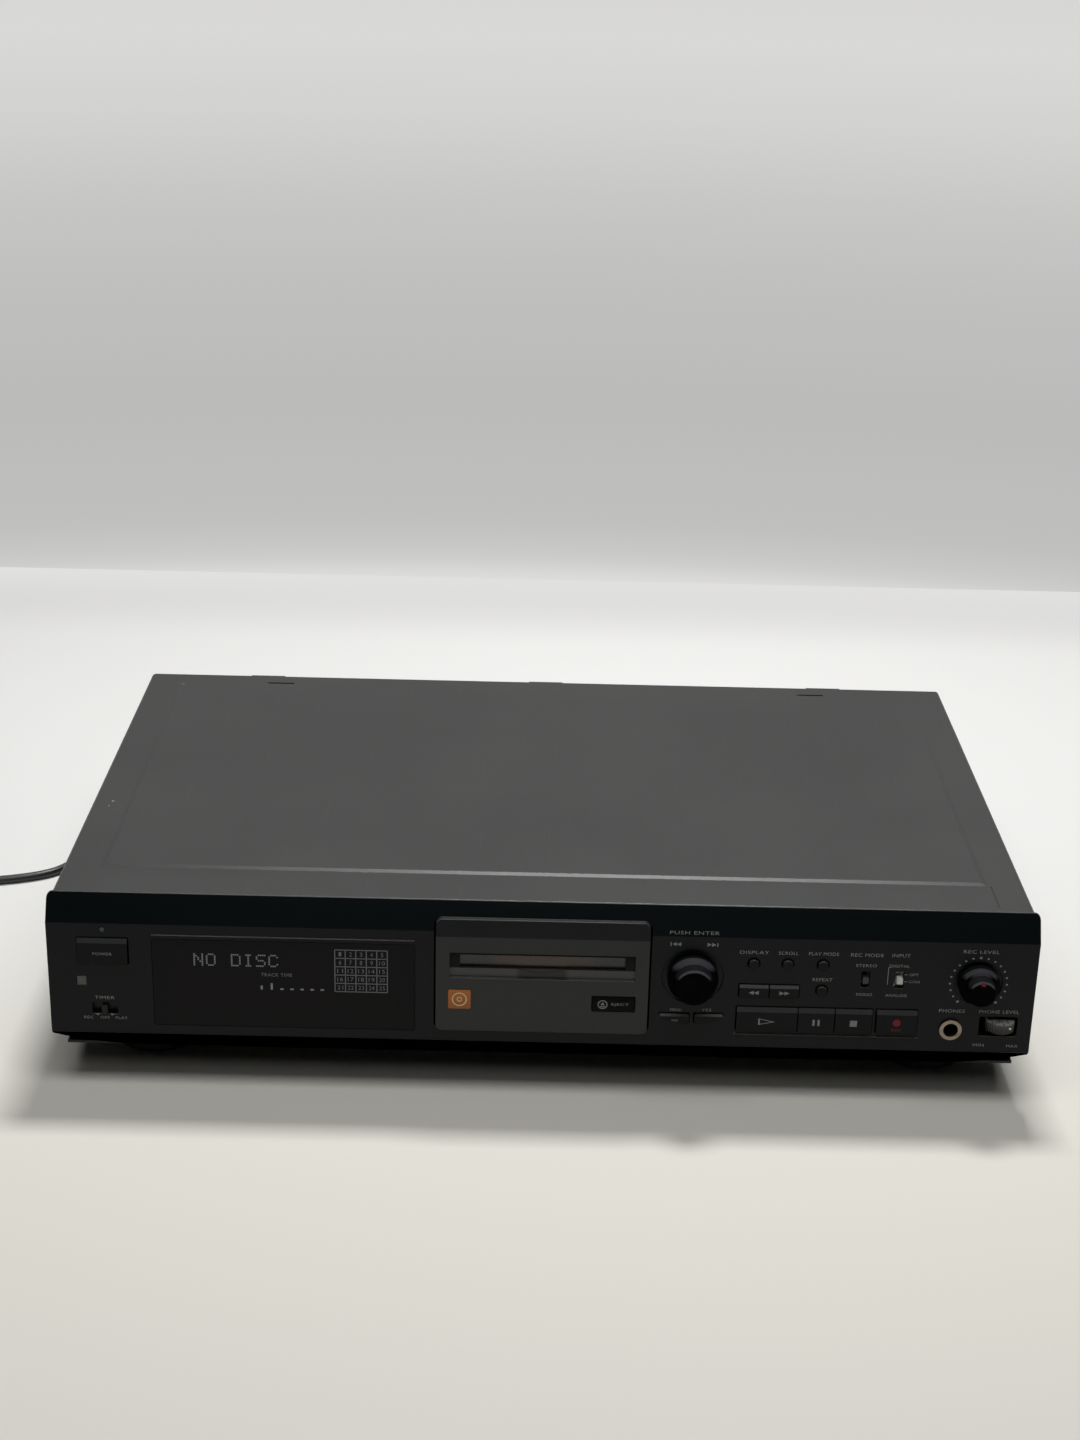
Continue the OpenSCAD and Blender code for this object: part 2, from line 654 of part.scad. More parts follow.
// thin wing under the jog dial, its lower edge curved
module wing_button(at) {
  color("#232627") on_face(at[0], at[1]) {
    intersection() {
      key_body(at[2], at[3], panel_wall + seat_gap + flange_t, button_proud);
      translate([jog_mid - at[0], -5, wing_low + wing_r - at[1]]) rod(2 * wing_r, 12);
    }
    translate([0, panel_wall + seat_gap, 0]) slab(at[2], at[3] + 1.6, flange_t);
    translate([0, panel_wall + seat_gap, 0]) rod(2.6, stem_end - panel_wall - seat_gap);
  }
}
module menu_button() { wing_button(menu_at); }
module yes_button() { wing_button(yes_at); }

// knob of a slide switch, with the plate that hides its slot and a fork to the switch
module switch_knob(s, shade, across) {
  cover = [s[2] + 1, s[3] + 1] + (across ? [2 * s[6], 0.6] : [0.6, 2 * s[6]]);
  color(shade) on_face(s[0], s[1]) {
    translate([0, -1.3, 0]) slab(s[4], s[5], panel_wall + seat_gap + 1.3, 0.4);
    translate([0, panel_wall + seat_gap, 0]) slab(cover.x, cover.y, 0.8);
    translate([0, panel_wall + seat_gap, 0]) slab(2, 2, switch_front - panel_wall - seat_gap - 0.3);
  }
}
module timer_switch() { switch_knob(timer_at, "#5c5e5e", true); }
module rec_mode_switch() { switch_knob(rec_mode_at, "#2c2e2f", false); }
module input_switch() { switch_knob(input_at, "#b8b8b4", false); }

module control_switches() {
  color("#3b3b3b") {
    for (k = keys) on_face(k[0], k[1], board_back - key_h) {
      slab(6, 6, key_h, 0.6);
      translate([0, -key_pin, 0]) rod(3.4, key_pin + eps);
    }
    for (s = [timer_at, rec_mode_at, input_at]) on_face(s[0], s[1], switch_front) {
      slab(max(6, s[2]), max(6, s[3]), board_back - switch_front);
    }
  }
}

// ---------- control board and what it carries ----------

module control_board() {
  x0 = panel_w / 2 - 9;
  notch = slot_w / 2 + 6;
  color("#6d5a35") difference() {
    on_face(0, 0, board_back) upright(board_t) polygon([[-x0, board_low], [x0, board_low], [x0, board_high],
      [notch, board_high], [notch, slot_up - throat_h / 2 - 1], [-notch, slot_up - throat_h / 2 - 1],
      [-notch, board_high], [-x0, board_high]]);
    for (b = bosses) on_face(b.x, b.y, board_back - 1) rod(screw_d + screw_gap, 4);
    on_face(phones_at.x, phones_at.y, board_back - 1) slab(phones_body + 1, phones_body + 1, 4);
  }
}

module phones_jack() {
  color("#c9c7c0") on_face(phones_at.x, phones_at.y) difference() {
    union() {
      translate([0, -1.2, 0]) rod(9.8, 1.2);
      translate([0, -eps, 0]) rod(phones_bush, panel_wall + 0.2 + eps);
      translate([0, panel_wall + 0.1, 0]) slab(phones_body, phones_body, phones_l - panel_wall, 1);
    }
    translate([0, -2, 0]) rod(phones_d, phones_l + 1.5);
  }
}

module jog_encoder() {
  color("#6f7274") on_face(jog_mid, knob_up) difference() {
    union() {
      translate([0, encoder_front, 0]) slab(13, 13, board_back - encoder_front, 1);
      translate([0, 1.2, 0]) rod(bush_d, encoder_front - 1.2 + eps);
    }
    rod(control_shaft + 2 * shaft_gap, board_back - 1);
  }
}

module level_controls() {
  color("#6f7274") {
    on_face(level_mid, knob_up) difference() {
      union() {
        translate([0, encoder_front, 0]) slab(16, 16, board_back - encoder_front, 1);
        translate([0, 1.2, 0]) rod(bush_d, encoder_front - 1.2 + eps);
      }
      rod(control_shaft + 2 * shaft_gap, board_back - 1);
    }
    // the thumbwheel's control lies under the wheel and carries it on a pin
    on_face(wheel_at.x, wheel_at.y - wheel_t / 2 - seat_gap - 3, 3.2) slab(12, 6, board_back - 3.2, 0.6);
    translate([wheel_at.x, face_y + wheel_r - wheel_proud, face_z + wheel_at.y - wheel_t / 2 - seat_gap - 1])
      cylinder(d = 3, h = wheel_t + seat_gap + 1.5);
  }
}

module display_tube() {
  tube_l = window_w - 10;
  color("#2c3436") {
    on_face(-window_mid, window_up + 3, 5) slab(tube_l, 30, 6, 1);
    for (s = [-1, 1]) on_face(-window_mid + s * (tube_l / 2 - 4), window_up + 3, 11 - eps) slab(5, 26, board_back - 11 + eps);
  }
}

// knob with a skirt, a stepped grip and a shallow dish in its front
module knob(grip_d, skirt_d, proud, dish, back) {
  skirt = proud * 0.42;
  color("#1d1f20") difference() {
    rotate([-90, 0, 0]) translate([0, 0, -proud]) rotate_extrude() difference() {
      polygon([[0, 0], [grip_d / 2 - 0.8, 0], [grip_d / 2, 0.8], [grip_d / 2 + 0.3, proud - skirt - 0.6],
        [skirt_d / 2 - 1.4, proud - skirt], [skirt_d / 2, proud - skirt + 1.4], [skirt_d / 2, proud - back], [0, proud - back]]);
      translate([0, dish - grip_d]) circle(r = grip_d, $fn = 96);
    }
    translate([0, -proud + 3, 0]) rod(control_shaft + 2 * shaft_gap, proud);
  }
}

module jog_shaft() {
  color("#9a9c9e") on_face(jog_mid, knob_up, 3.4 - jog_proud) rod(control_shaft, jog_proud + board_back - 6);
}
module jog_dial() { on_face(jog_mid, knob_up) knob(jog_d, jog_skirt_d, jog_proud, 0.6, jog_travel + 0.5); }
module rec_level_shaft() {
  color("#9a9c9e") on_face(level_mid, knob_up, 3.2 - level_proud) rod(control_shaft, level_proud + board_back - 5);
}
module rec_level_knob() {
  difference() {
    on_face(level_mid, knob_up) knob(level_d, level_skirt_d, level_proud, 0, 0.1);
    // groove for the pointer
    on_face(level_mid, knob_up + level_d / 2 - 1.4, -level_proud - 1) slab(2, 2.6, 1.3);
  }
}

flute_count = 30;
module phone_level_wheel() {
  color("#77797a") translate([wheel_at.x, face_y + wheel_r - wheel_proud, face_z + wheel_at.y - wheel_t / 2]) difference() {
    rotate_extrude() polygon([[1.5 + shaft_gap, 0], [wheel_r - 0.5, 0], [wheel_r, 0.5], [wheel_r, wheel_t - 0.5],
      [wheel_r - 0.5, wheel_t], [1.5 + shaft_gap, wheel_t]]);
    for (i = [0:flute_count - 1]) rotate(i * 360 / flute_count) translate([wheel_r + 0.25, 0, -1]) cylinder(d = 1.1, h = wheel_t + 2, $fn = 16);
  }
}

// ---------- electronics ----------

module capacitor(x, y, d, h) {
  translate([x, y, board_t - eps]) cylinder(d = d, h = h);
}

// finned heat sink standing on the board
module heat_sink(x, y) {
  translate([x, y, board_t - eps]) {
    cube([3, 46, 36]);
    for (i = [0:8]) translate([2.9, i * 5.4, 0]) cube([14, 2, 36]);
  }
}

module main_board() {
  color("#4b6b3a") translate([main_board_at.x, main_board_at.y, main_board_z]) difference() {
    union() {
      cube([main_board_size.x, main_board_size.y, board_t]);
      for (i = [0:3]) capacitor(100, 20 + i * 22, 16, 30);
      for (i = [0:4]) capacitor(18 + i * 14, 150, 8, 14);
      capacitor(70, 60, 12.5, 22);
      heat_sink(12, 84);
      for (p = [[40, 100, 22], [36, 30, 18], [64, 120, 14]]) {
        translate([p.x, p.y, board_t - eps]) cube([p.z, p.z, 3]);
      }
      for (y = [20, 48]) translate([4, y, board_t - eps]) cube([6, 20, 9]);
    }
    for (p = board_posts) translate([p.x - main_board_at.x, p.y - main_board_at.y, -1]) cylinder(d = screw_d + screw_gap, h = 4);
  }
}

core = [56, 22, 46];
core_side = 21.85;
transformer_at = [core_side - tray_w / 2, face_y + 96];
module power_transformer() {
  color("#575a5e") translate([transformer_at.x, transformer_at.y, floor_z]) {
    difference() {
      translate([0, 14, 3]) cube(core);
      for (x = [8, core.x - 8], z = [10, core.z - 4]) translate([x, 10, z]) rod(4, 40);
    }
    translate([8, 2, 8]) cube([core.x - 16, 12 + eps, core.z - 12]);
    translate([8, 14 + core.y - eps, 8]) cube([core.x - 16, 12, core.z - 12]);
    difference() {
      translate([-9, 14, 0]) cube([core.x + 18, core.y, 3 + eps]);
      for (x = [-5, core.x + 5]) translate([x, 14 + core.y / 2, -1]) cylinder(d = 4, h = 6);
    }
  }
}

module line_jacks() {
  color("#303234") difference() {
    union() {
      for (x = jack_cols) {
        translate([x - jack_pitch / 2, rear_y - rear_t - jack_depth, main_board_z + board_t])
          cube([jack_pitch, jack_depth, jack_rows[1] + 8 - main_board_z - board_t]);
      }
      // neck through the panel, flange on it, and the barrel
      for (x = jack_cols, z = jack_rows) {
        translate([x, rear_y - rear_t - eps, z]) rod(jack_neck, rear_t + 2 * eps);
        translate([x, rear_y, z]) rod(jack_d + 2.7, jack_flange_t);
        translate([x, rear_y + jack_flange_t - eps, z]) rod(jack_d, jack_proud - jack_flange_t + eps);
      }
    }
    for (x = jack_cols, z = jack_rows) {
      translate([x, rear_y - 6, z]) rod(3.4, 20);
      translate([x, rear_y + jack_proud - 7.5, z]) difference() {
        rod(jack_d - 1.2, 8);
        translate([0, -1, 0]) rod(5, 10);
      }
    }
  }
}

module digital_jacks() {
  depth = 14;
  color("#232425") difference() {
    union() {
      for (z = digital_z) translate([digital_x, rear_y - depth, z]) slab(digital_w - 0.4, digital_w - 2.4, depth + 1.6, 0.6);
      translate([digital_x - 8, rear_y - rear_t - depth, main_board_z + board_t])
        cube([16, depth, digital_z[2] + 8 - main_board_z - board_t]);
    }
    for (z = [digital_z[0], digital_z[1]]) translate([digital_x, rear_y - 8.4, z]) slab(8.2, 8.2, 20);
    translate([digital_x, rear_y - 8, digital_z[2]]) rod(3.4, 20);
  }
}

// ---------- disc mechanism ----------

mech_y = face_y + 20;
disc_y = face_y + 59;
holder_y = face_y + 18.6;
slot_z = face_z + slot_up;
base_z = slot_z - 22;
sheet = 1.2;
wall_x = slot_w / 2 + 2.6;
slider_x = wall_x + sheet + 0.4;
frame_rear = 4;
pin_d = 3;
pin_y = [holder_y + 20, holder_y + 60];
holder_w = slot_w + 1.2;
holder_low = slot_z - slot_h / 2 - 1.2;
holder_high = slot_z + slot_h / 2 + 1.2;

// slot that a pin of diameter d follows along a straight line, drawn in Y and Z
module path_slot(d, y, z, dy, dz, t) {
  l = sqrt(dy * dy + dz * dz);
  for (k = [0, 1]) translate([0, y + k * dy, z + k * dz]) bar(d, t);
  translate([0, y + dy / 2, z + dz / 2]) rotate([atan2(dz, dy), 0, 0]) cube([t, l, d - 0.04], center = true);
}

rod_z = base_z + 6.4;
rod_x = 20;
rod_d = 3;
rod_y = disc_y + 9;
rod_l = 46;
mech_l = rod_y + rod_l + frame_rear - mech_y;
screw_x = 28;
lug_t = 2.4;

module rod_lug(x, y) {
  translate([x - 3.2, y, base_z + sheet - eps]) cube([6.4, lug_t, rod_z - base_z + 3]);
}

rack_back = 1.1;
gear_x = slider_x + sheet + rack_back + 1.25 * rack_module + pinion_teeth * rack_module / 2;
gear_y = mech_y + 30;
motor_y = gear_y + (wheel_teeth + motor_teeth) * motor_module / 2;
shelf_z = base_z - 4.6;
gear_low = shelf_z + sheet + 0.6;
wheel_th = 1.8;
pinion_th = 4.4;
pinion_low = gear_low + wheel_th;
rack_pitch = PI * rack_module;
rack_count = 2 * ceil(slider_travel / rack_pitch) + 2;
rack_shift = 2 * rack_pitch;

module mechanism_frame() {
  leg_w = 12;
  color("#a6a8a9") difference() {
    union() {
      translate([-wall_x - sheet, mech_y, base_z]) cube([2 * (wall_x + sheet), mech_l, sheet]);
      for (s = [0, 1]) {
        translate([s ? wall_x : -wall_x - sheet, mech_y, base_z]) cube([sheet, mech_l, slot_z + 8 - base_z]);
        for (y = [mech_y, mech_y + mech_l - leg_w]) {
          translate([s ? wall_x : -wall_x - sheet, y, floor_z]) cube([sheet, leg_w, base_z - floor_z + eps]);
          translate([s ? wall_x - 8 : -wall_x - sheet, y, floor_z]) cube([8 + sheet, leg_w, sheet]);
        }
      }
      for (x = [-rod_x, rod_x, screw_x], y = [rod_y, rod_y + rod_l - lug_t]) rod_lug(x, y);
      // shelf for the loading gear and its motor, hung from the side wall
      translate([wall_x, gear_y - 14, shelf_z]) cube([gear_x - wall_x + 12, motor_y - gear_y + 26, sheet]);
      translate([wall_x, gear_y - 14, shelf_z]) cube([sheet, motor_y - gear_y + 26, base_z - shelf_z + eps]);
      translate([gear_x, gear_y, shelf_z]) cylinder(d = 2, h = pinion_low + pinion_th + 0.6 - shelf_z);
    }
    // room for the pickup and the spindle motor's screws
    translate([-16, disc_y + 14.5, base_z - 1]) cube([32, rod_l - 6, 4]);
    for (a = [0, 120, 240]) translate([9 * cos(a), disc_y + 9 * sin(a), base_z - 1]) cylinder(d = 2, h = 4);
    for (s = [-1, 1], y = pin_y) {
      translate([s * (wall_x + sheet / 2), 0, 0]) path_slot(pin_d + 0.4, y, slot_z, 0, -holder_drop, 4);
    }
    for (x = [-rod_x, rod_x]) translate([x, rod_y - 1, rod_z]) rod(rod_d, rod_l + 2);
    translate([screw_x, rod_y - 1, rod_z]) rod(rod_d + 2 * shaft_gap, rod_l + 2);
    for (s = [-1, 1], y = [mech_y + 6, mech_y + mech_l - 6]) translate([s * (wall_x - 4), y, floor_z - 1]) cylinder(d = 3.2, h = 4);
    translate([gear_x, motor_y, shelf_z - 1]) cylinder(d = 5, h = 4);
    for (y = [mech_y + 30, mech_y + 52]) translate([-30, y, base_z - 1]) cylinder(d = 6, h = 4);
  }
}

module guide_rods() {
  color("#c4c6c8") for (x = [-rod_x, rod_x]) translate([x, rod_y, rod_z]) rod(rod_d - 0.02, rod_l);
}

module disc_holder() {
  h = holder_high - holder_low;
  color("#b0b2b3") difference() {
    union() {
      translate([0, holder_y, slot_z]) slab(holder_w + 2 * sheet, h, holder_l + sheet);
      for (s = [-1, 1], y = pin_y) {
        translate([s * (holder_w / 2 + (s > 0 ? 3.6 : 2.4)), y, slot_z]) bar(pin_d, s > 0 ? 7.2 : 4.8);
      }
    }
    translate([0, holder_y - 1, slot_z]) slab(holder_w - 0.6, h - 2 * sheet, holder_l + 1);
    // windows for the turntable and pickup below and the head above
    translate([-24, disc_y - 14, holder_low - 1]) cube([48, 60, 4]);
    translate([-10, disc_y - 12, holder_high - 3]) cube([20, 60, 6]);
    translate([-10, holder_y + holder_l - 2, slot_z]) cube([20, 6, 10]);
    // flared mouth
    translate([0, holder_y, slot_z]) sideways(holder_w - 0.6) polygon([[-1, -slot_h / 2 - 1], [1.4, -slot_h / 2 + eps],
      [1.4, slot_h / 2 - eps], [-1, slot_h / 2 + 1]]);
  }
}

spindle_low = base_z + sheet;
module spindle_motor() {
  color("#8b8d90") translate([0, disc_y, spindle_low]) {
    cylinder(d = 23, h = 6.6);
    cylinder(d = 1.5, h = 13.4, $fn = 24);
  }
}

module turntable() {
  low = spindle_low + 6.9;
  top = holder_low - holder_drop + 0.9;
  color("#d0d0cc") translate([0, disc_y, low]) difference() {
    rotate_extrude() polygon([[0, 0], [3.4, 0], [3.4, top - low - 1.4], [5.4, top - low - 1.4], [5.4, top - low],
      [1.9, top - low], [1.4, top - low + 1], [0, top - low + 1]]);
    translate([0, 0, -1]) cylinder(d = 1.5 + 2 * shaft_gap, h = 20, $fn = 24);
  }
}

pickup_y = disc_y + 13.2;
pickup_l = 26;
arm_z = holder_high + 2.2;
arm_y = pickup_y + pickup_l - 2.6;

module optical_pickup() {
  color("#5b5e61") difference() {
    union() {
      translate([-13, pickup_y, base_z + 2]) cube([26, pickup_l, 8.6]);
      // long bearing on one rod, fork on the other, nut arm to the lead screw
      translate([-rod_x, pickup_y + 1, rod_z]) rod(5.6, pickup_l - 4);
      translate([-rod_x, pickup_y + 3, rod_z - 1.5]) cube([8, 14, 3]);
      translate([12, pickup_y + 6, rod_z - 3]) cube([screw_x - 9, 8, 6]);
      // lens ring
      translate([0, pickup_y + 4.2, base_z + 10.6 - eps]) cylinder(d = 6.4, h = 1);
      // bracket for the head arm
      for (s = [-1, 1]) {
        translate([s * 6.5 - 1.2, arm_y - 2.4, base_z + 10.6 - eps]) cube([2.4, 5.2, arm_z - base_z - 8.2]);
      }
    }
    translate([-rod_x, pickup_y, rod_z]) rod(rod_d + 2 * shaft_gap, pickup_l);
    translate([rod_x, pickup_y, rod_z]) rod(rod_d + 0.3, pickup_l);
    translate([screw_x, pickup_y, rod_z]) rod(rod_d + 0.5, pickup_l);
    translate([0, arm_y, arm_z]) bar(2 + 2 * shaft_gap, 20);
    translate([0, pickup_y + 4.2, base_z + 9.6]) cylinder(d = 4.4, h = 3);
  }
}

module lead_screw() {
  color("#c9b27a") {
    translate([screw_x, rod_y - 1.2, rod_z]) rod(rod_d, rod_l + 6);
    translate([screw_x, rod_y + rod_l + 1.2, rod_z]) rod(7, 3);
  }
}

module head_arm() {
  reach = arm_y - pickup_y - 4.2;
  color("#c6c8ca") {
    translate([0, arm_y, arm_z]) bar(2, 15.2);
    translate([-4, arm_y - reach - 3, arm_z - 0.5]) cube([8, reach + 5, 1]);
    translate([0, arm_y, arm_z]) bar(3.4, 9.6);
    translate([0, pickup_y + 4.2, arm_z - 1.7]) cylinder(d = 5, h = 1.5);
  }
}

// ---------- gears ----------

pressure = 20;
backlash = 0.12;
function involute(a) = tan(a) * 180 / PI - a;
// angle from a tooth's middle to its flank at radius r
function flank(r, pitch_r, teeth, m) =
  let (base = pitch_r * cos(pressure), a = r > base ? acos(base / r) : 0)
  90 / teeth - backlash / pitch_r * 45 / PI + involute(pressure) - involute(a);
function spur_points(teeth, m, addendum) =
  let (pitch_r = teeth * m / 2, root = pitch_r - 1.25 * m, tip = pitch_r + addendum * m, steps = 4)
  [for (k = [0:teeth - 1], side = [-1, 1], i = [0:steps])
    let (f = side < 0 ? i : steps - i, r = root + (tip - root) * f / steps,
      a = 360 * k / teeth + side * flank(max(r, pitch_r * cos(pressure)), pitch_r, teeth, m))
    [r * cos(a), r * sin(a)]];

module spur(teeth, m, t, addendum = 1) {
  linear_extrude(t) polygon(spur_points(teeth, m, addendum));
}

// straight rack along Y with its teeth towards +X, its pitch line at x = 0
module rack(m, count, t, back) {
  pitch = PI * m;
  half = pitch / 4 - backlash / 2;
  slope = tan(pressure) * m;
  low = -pitch * count / 2;
  linear_extrude(t) polygon(concat([[-1.25 * m - back, -low], [-1.25 * m - back, low], [-1.25 * m, low]],
    [for (i = [0:count - 1]) let (y = (i - (count - 1) / 2) * pitch) each [[-1.25 * m, y - half - 1.25 * slope],
      [0.75 * m, y - half + 0.75 * slope], [0.75 * m, y + half - 0.75 * slope], [-1.25 * m, y + half + 1.25 * slope]]],
    [[-1.25 * m, -low]]));
}

module loading_gear() {
  color("#e6e2d6") translate([gear_x, gear_y, gear_low]) difference() {
    union() {
      spur(wheel_teeth, motor_module, wheel_th);
      translate([0, 0, wheel_th - eps]) spur(pinion_teeth, rack_module, pinion_th);
    }
    translate([0, 0, -1]) cylinder(d = 2 + 2 * shaft_gap, h = 12);
  }
}

module motor_pinion() {
  color("#e6e2d6") translate([gear_x, motor_y, gear_low]) difference() {
    rotate(180 / motor_teeth) spur(motor_teeth, motor_module, wheel_th + 1);
    translate([0, 0, -1]) cylinder(d = 2 + 2 * shaft_gap, h = 6);
  }
}

module loading_motor() {
  color("#9a9c9e") translate([gear_x, motor_y, shelf_z - 18]) {
    cylinder(d = 15, h = 18);
    cylinder(d = 4.6, h = 18.8);
    cylinder(d = 2, h = gear_low - shelf_z + 18 + wheel_th + 1);
  }
}

slider_l = pin_y[1] - mech_y + 17.4;
module loading_slider() {
  low = pinion_low + 0.4;
  color("#d8d4c8") {
    difference() {
      translate([slider_x, mech_y + 2, low]) cube([sheet, slider_l, slot_z + 4 - low]);
      for (y = pin_y) translate([slider_x + sheet / 2, 0, 0]) {
        path_slot(pin_d + 0.4, y, slot_z, -slider_travel, -holder_drop, 4);
      }
      for (y = [mech_y + 30]) translate([slider_x + sheet / 2, y, slot_z - 12]) cube([4, 30, 5], center = true);
    }
    translate([gear_x - pinion_teeth * rack_module / 2, gear_y - rack_shift, low]) rack(rack_module, rack_count, 3.2, rack_back + 0.4);
  }
}
// ---------- mains cord ----------

cord_r = cord_d / 2;
coil_pitch = cord_d + 0.45;
coil_out = 35.2;
coil_turns = 3.375;
coil_in = coil_out - coil_turns * coil_pitch;
coil_middle = [-330, 24.5];
coil_run = 24;
relief_tip = rear_y + relief_l;

module strain_relief() {
  color("#161617") translate([-cord_x, 0, cord_z]) difference() {
    union() {
      translate([0, rear_y - rear_t - 6, 0]) rod(relief_hole, 6 + rear_t + eps);
      translate([0, rear_y, 0]) rod(relief_hole + 4, 2.4);
      translate([0, rear_y + 2.4 - eps, 0]) rotate([-90, 0, 0]) cylinder(d1 = 10.5, d2 = cord_d + 1.8, h = relief_l - 2.4);
      translate([0, rear_y - rear_t - 6, 0]) rod(relief_hole + 3, 5.8);
    }
    for (i = [0:4]) translate([0, rear_y + 6 + i * 3.4, 0]) difference() {
      rod(16, 1.2);
      translate([0, -1, 0]) rod(cord_d + 1.4, 4);
    }
    translate([0, relief_tip - 5, 0]) rod(cord_d + 0.1, 10);
  }
}

// route of the free stretch, chosen by hand: out of the relief, down, round the corner, to the coil
cord_route = concat([[-cord_x, relief_tip - 5, cord_z], [-cord_x, relief_tip + 4, cord_z]],
  [[-171, 176, 28], [-174, 186, 21], [-180, 195, 14], [-189, 201, 8], [-200, 202, 4], [-211, 198, 2.5],
  [-220, 190, 2.4], [-226, 179, 2.3], [-230, 167, 2.3], [-233, 155, 2.3], [-236, 143, 2.3], [-239, 131, 2.3],
  [-242, 119, 2.3], [-246, 106, 2.3], [-250, 94, 2.3], [-254, 85.5, 2.3], [-259, 79, 2.3], [-266, 74.2, 2.3],
  [-276, 70, 2.3], [-288, 66.5, 2.3], [-299, 63.5, 2.3], [-311, 61, 2.3], [coil_middle.x + cord_d + 5, coil_middle.y + coil_out, 2.3],
  [coil_middle.x + cord_d, coil_middle.y + coil_out, 2.3]]);
cord_sides = 8;

// direction of a path at point i, and a ring of the tube there
function heading(p, i) = unit(p[min(i + 1, len(p) - 1)] - p[max(i - 1, 0)]);
function ring(p, i, r, sides) =
  let (t = heading(p, i), s = unit(cross(t, [0, 0, 1])), u = cross(s, t))
  [for (k = [0:sides - 1]) let (a = 360 * (k + 0.5) / sides) p[i] + r / cos(180 / sides) * (cos(a) * s + sin(a) * u)];
module tube(p, r, sides) {
  n = len(p);
  points = [for (i = [0:n - 1]) each ring(p, i, r, sides)];
  walls = [for (i = [0:n - 2], k = [0:sides - 1])
    let (a = i * sides + k, b = i * sides + (k + 1) % sides, c = a + sides, d = b + sides) each [[a, b, c], [b, d, c]]];
  starts = [for (k = [1:sides - 2]) [0, k + 1, k]];
  ends = [for (k = [1:sides - 2]) [(n - 1) * sides, (n - 1) * sides + k, (n - 1) * sides + k + 1]];
  polyhedron(points, concat(walls, starts, ends), convexity = 10);
}

module power_cord() {
  color("#18181a") tube(cord_route, cord_r * cos(180 / cord_sides), cord_sides);
}

// the stored length: in along one layer, up a layer where it turns back, out along the next
coil_steps = 24;
coil_half = coil_turns * 360;
function coil_radius(a) = a < coil_half ? coil_out - coil_pitch * a / 360
  : a < coil_half + 180 ? coil_in - coil_pitch / 2 / PI * sin(a - coil_half)
  : coil_in + coil_pitch * (a - coil_half - 180) / 360;
function coil_height(a) = a < coil_half ? 0 : a < coil_half + 180 ? (1 - cos(a - coil_half)) / 2 : 1;
function coil_point(a) = [coil_middle.x + coil_radius(a) * cos(a + 90), coil_middle.y + coil_radius(a) * sin(a + 90),
  2.3 + coil_pitch * coil_height(a)];
coil_total = 2 * coil_half + 180;
coil_path = concat([[coil_middle.x + cord_d, coil_middle.y + coil_out, 2.3]],
  [for (a = [0:360 / coil_steps:coil_total]) coil_point(a)],
  [for (k = [1:3]) coil_point(coil_total) + [0, -coil_run * k / 3, 0]]);

// least distance between stretches of the path more than half a turn apart, less the cord
function coil_gap() = min([for (i = [0:len(coil_path) - 15], j = [i + 14:len(coil_path) - 1])
  norm(coil_path[i] - coil_path[j])]) - cord_d;
function path_length(p) = len(p) < 2 ? 0 : sum_steps(p, len(p) - 1);
function sum_steps(p, i) = i == 0 ? 0 : norm(p[i] - p[i - 1]) + sum_steps(p, i - 1);
echo(coil_gap = coil_gap(), stretch = path_length(cord_route), coil = path_length(coil_path));

module cord_coil() {
  color("#18181a") tube(coil_path, cord_r * cos(30), 6);
}

plug_l = 34;
plug_pin_l = 19;
plug_pitch = 18.6;
plug_z = 2.3 + coil_pitch;
plug_t = 2 * plug_z;
module power_plug() {
  end = coil_path[len(coil_path) - 1];
  color("#1a1a1b") translate([end.x, end.y, 0]) rotate(180) {
    difference() {
      linear_extrude(plug_t) polygon([[-5, 0], [5, 0], [7, 10], [13, 20], [13, plug_l], [-13, plug_l], [-13, 20], [-7, 10]]);
      for (s = [-1, 1]) translate([s * 12, 8, -1]) cylinder(r = 3, h = plug_t + 2);
    }
    for (s = [-1, 1]) translate([s * plug_pitch / 2, plug_l - eps, plug_z]) rod(4, plug_pin_l);
  }
}

chassis_tray();
rear_panel();
top_cover();
front_panel();
display_window();
disc_escutcheon();
standby_lamp();
remote_sensor();
feet();
foot_pads();
display_tube();
control_board();
control_switches();
jog_encoder();
level_controls();
phones_jack();
main_board();
power_transformer();
line_jacks();
digital_jacks();
mechanism_frame();
guide_rods();
spindle_motor();
loading_motor();
screws();
strain_relief();
power_cord();
cord_coil();
power_plug();
slot_shutter();
power_button();
eject_button();
menu_button();
yes_button();
rewind_button();
fast_forward_button();
display_button();
scroll_button();
play_mode_button();
repeat_button();
play_button();
pause_button();
stop_button();
record_button();
timer_switch();
rec_mode_switch();
input_switch();
jog_shaft();
jog_dial();
rec_level_shaft();
rec_level_knob();
phone_level_wheel();
disc_holder();
loading_slider();
loading_gear();
motor_pinion();
turntable();
optical_pickup();
lead_screw();
head_arm();
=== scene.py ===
"""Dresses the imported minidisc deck: finishes, lettering, readout, mains cord and a plain stage."""
from math import cos, pi, radians, sin

import bpy
from mathutils import Matrix, Vector


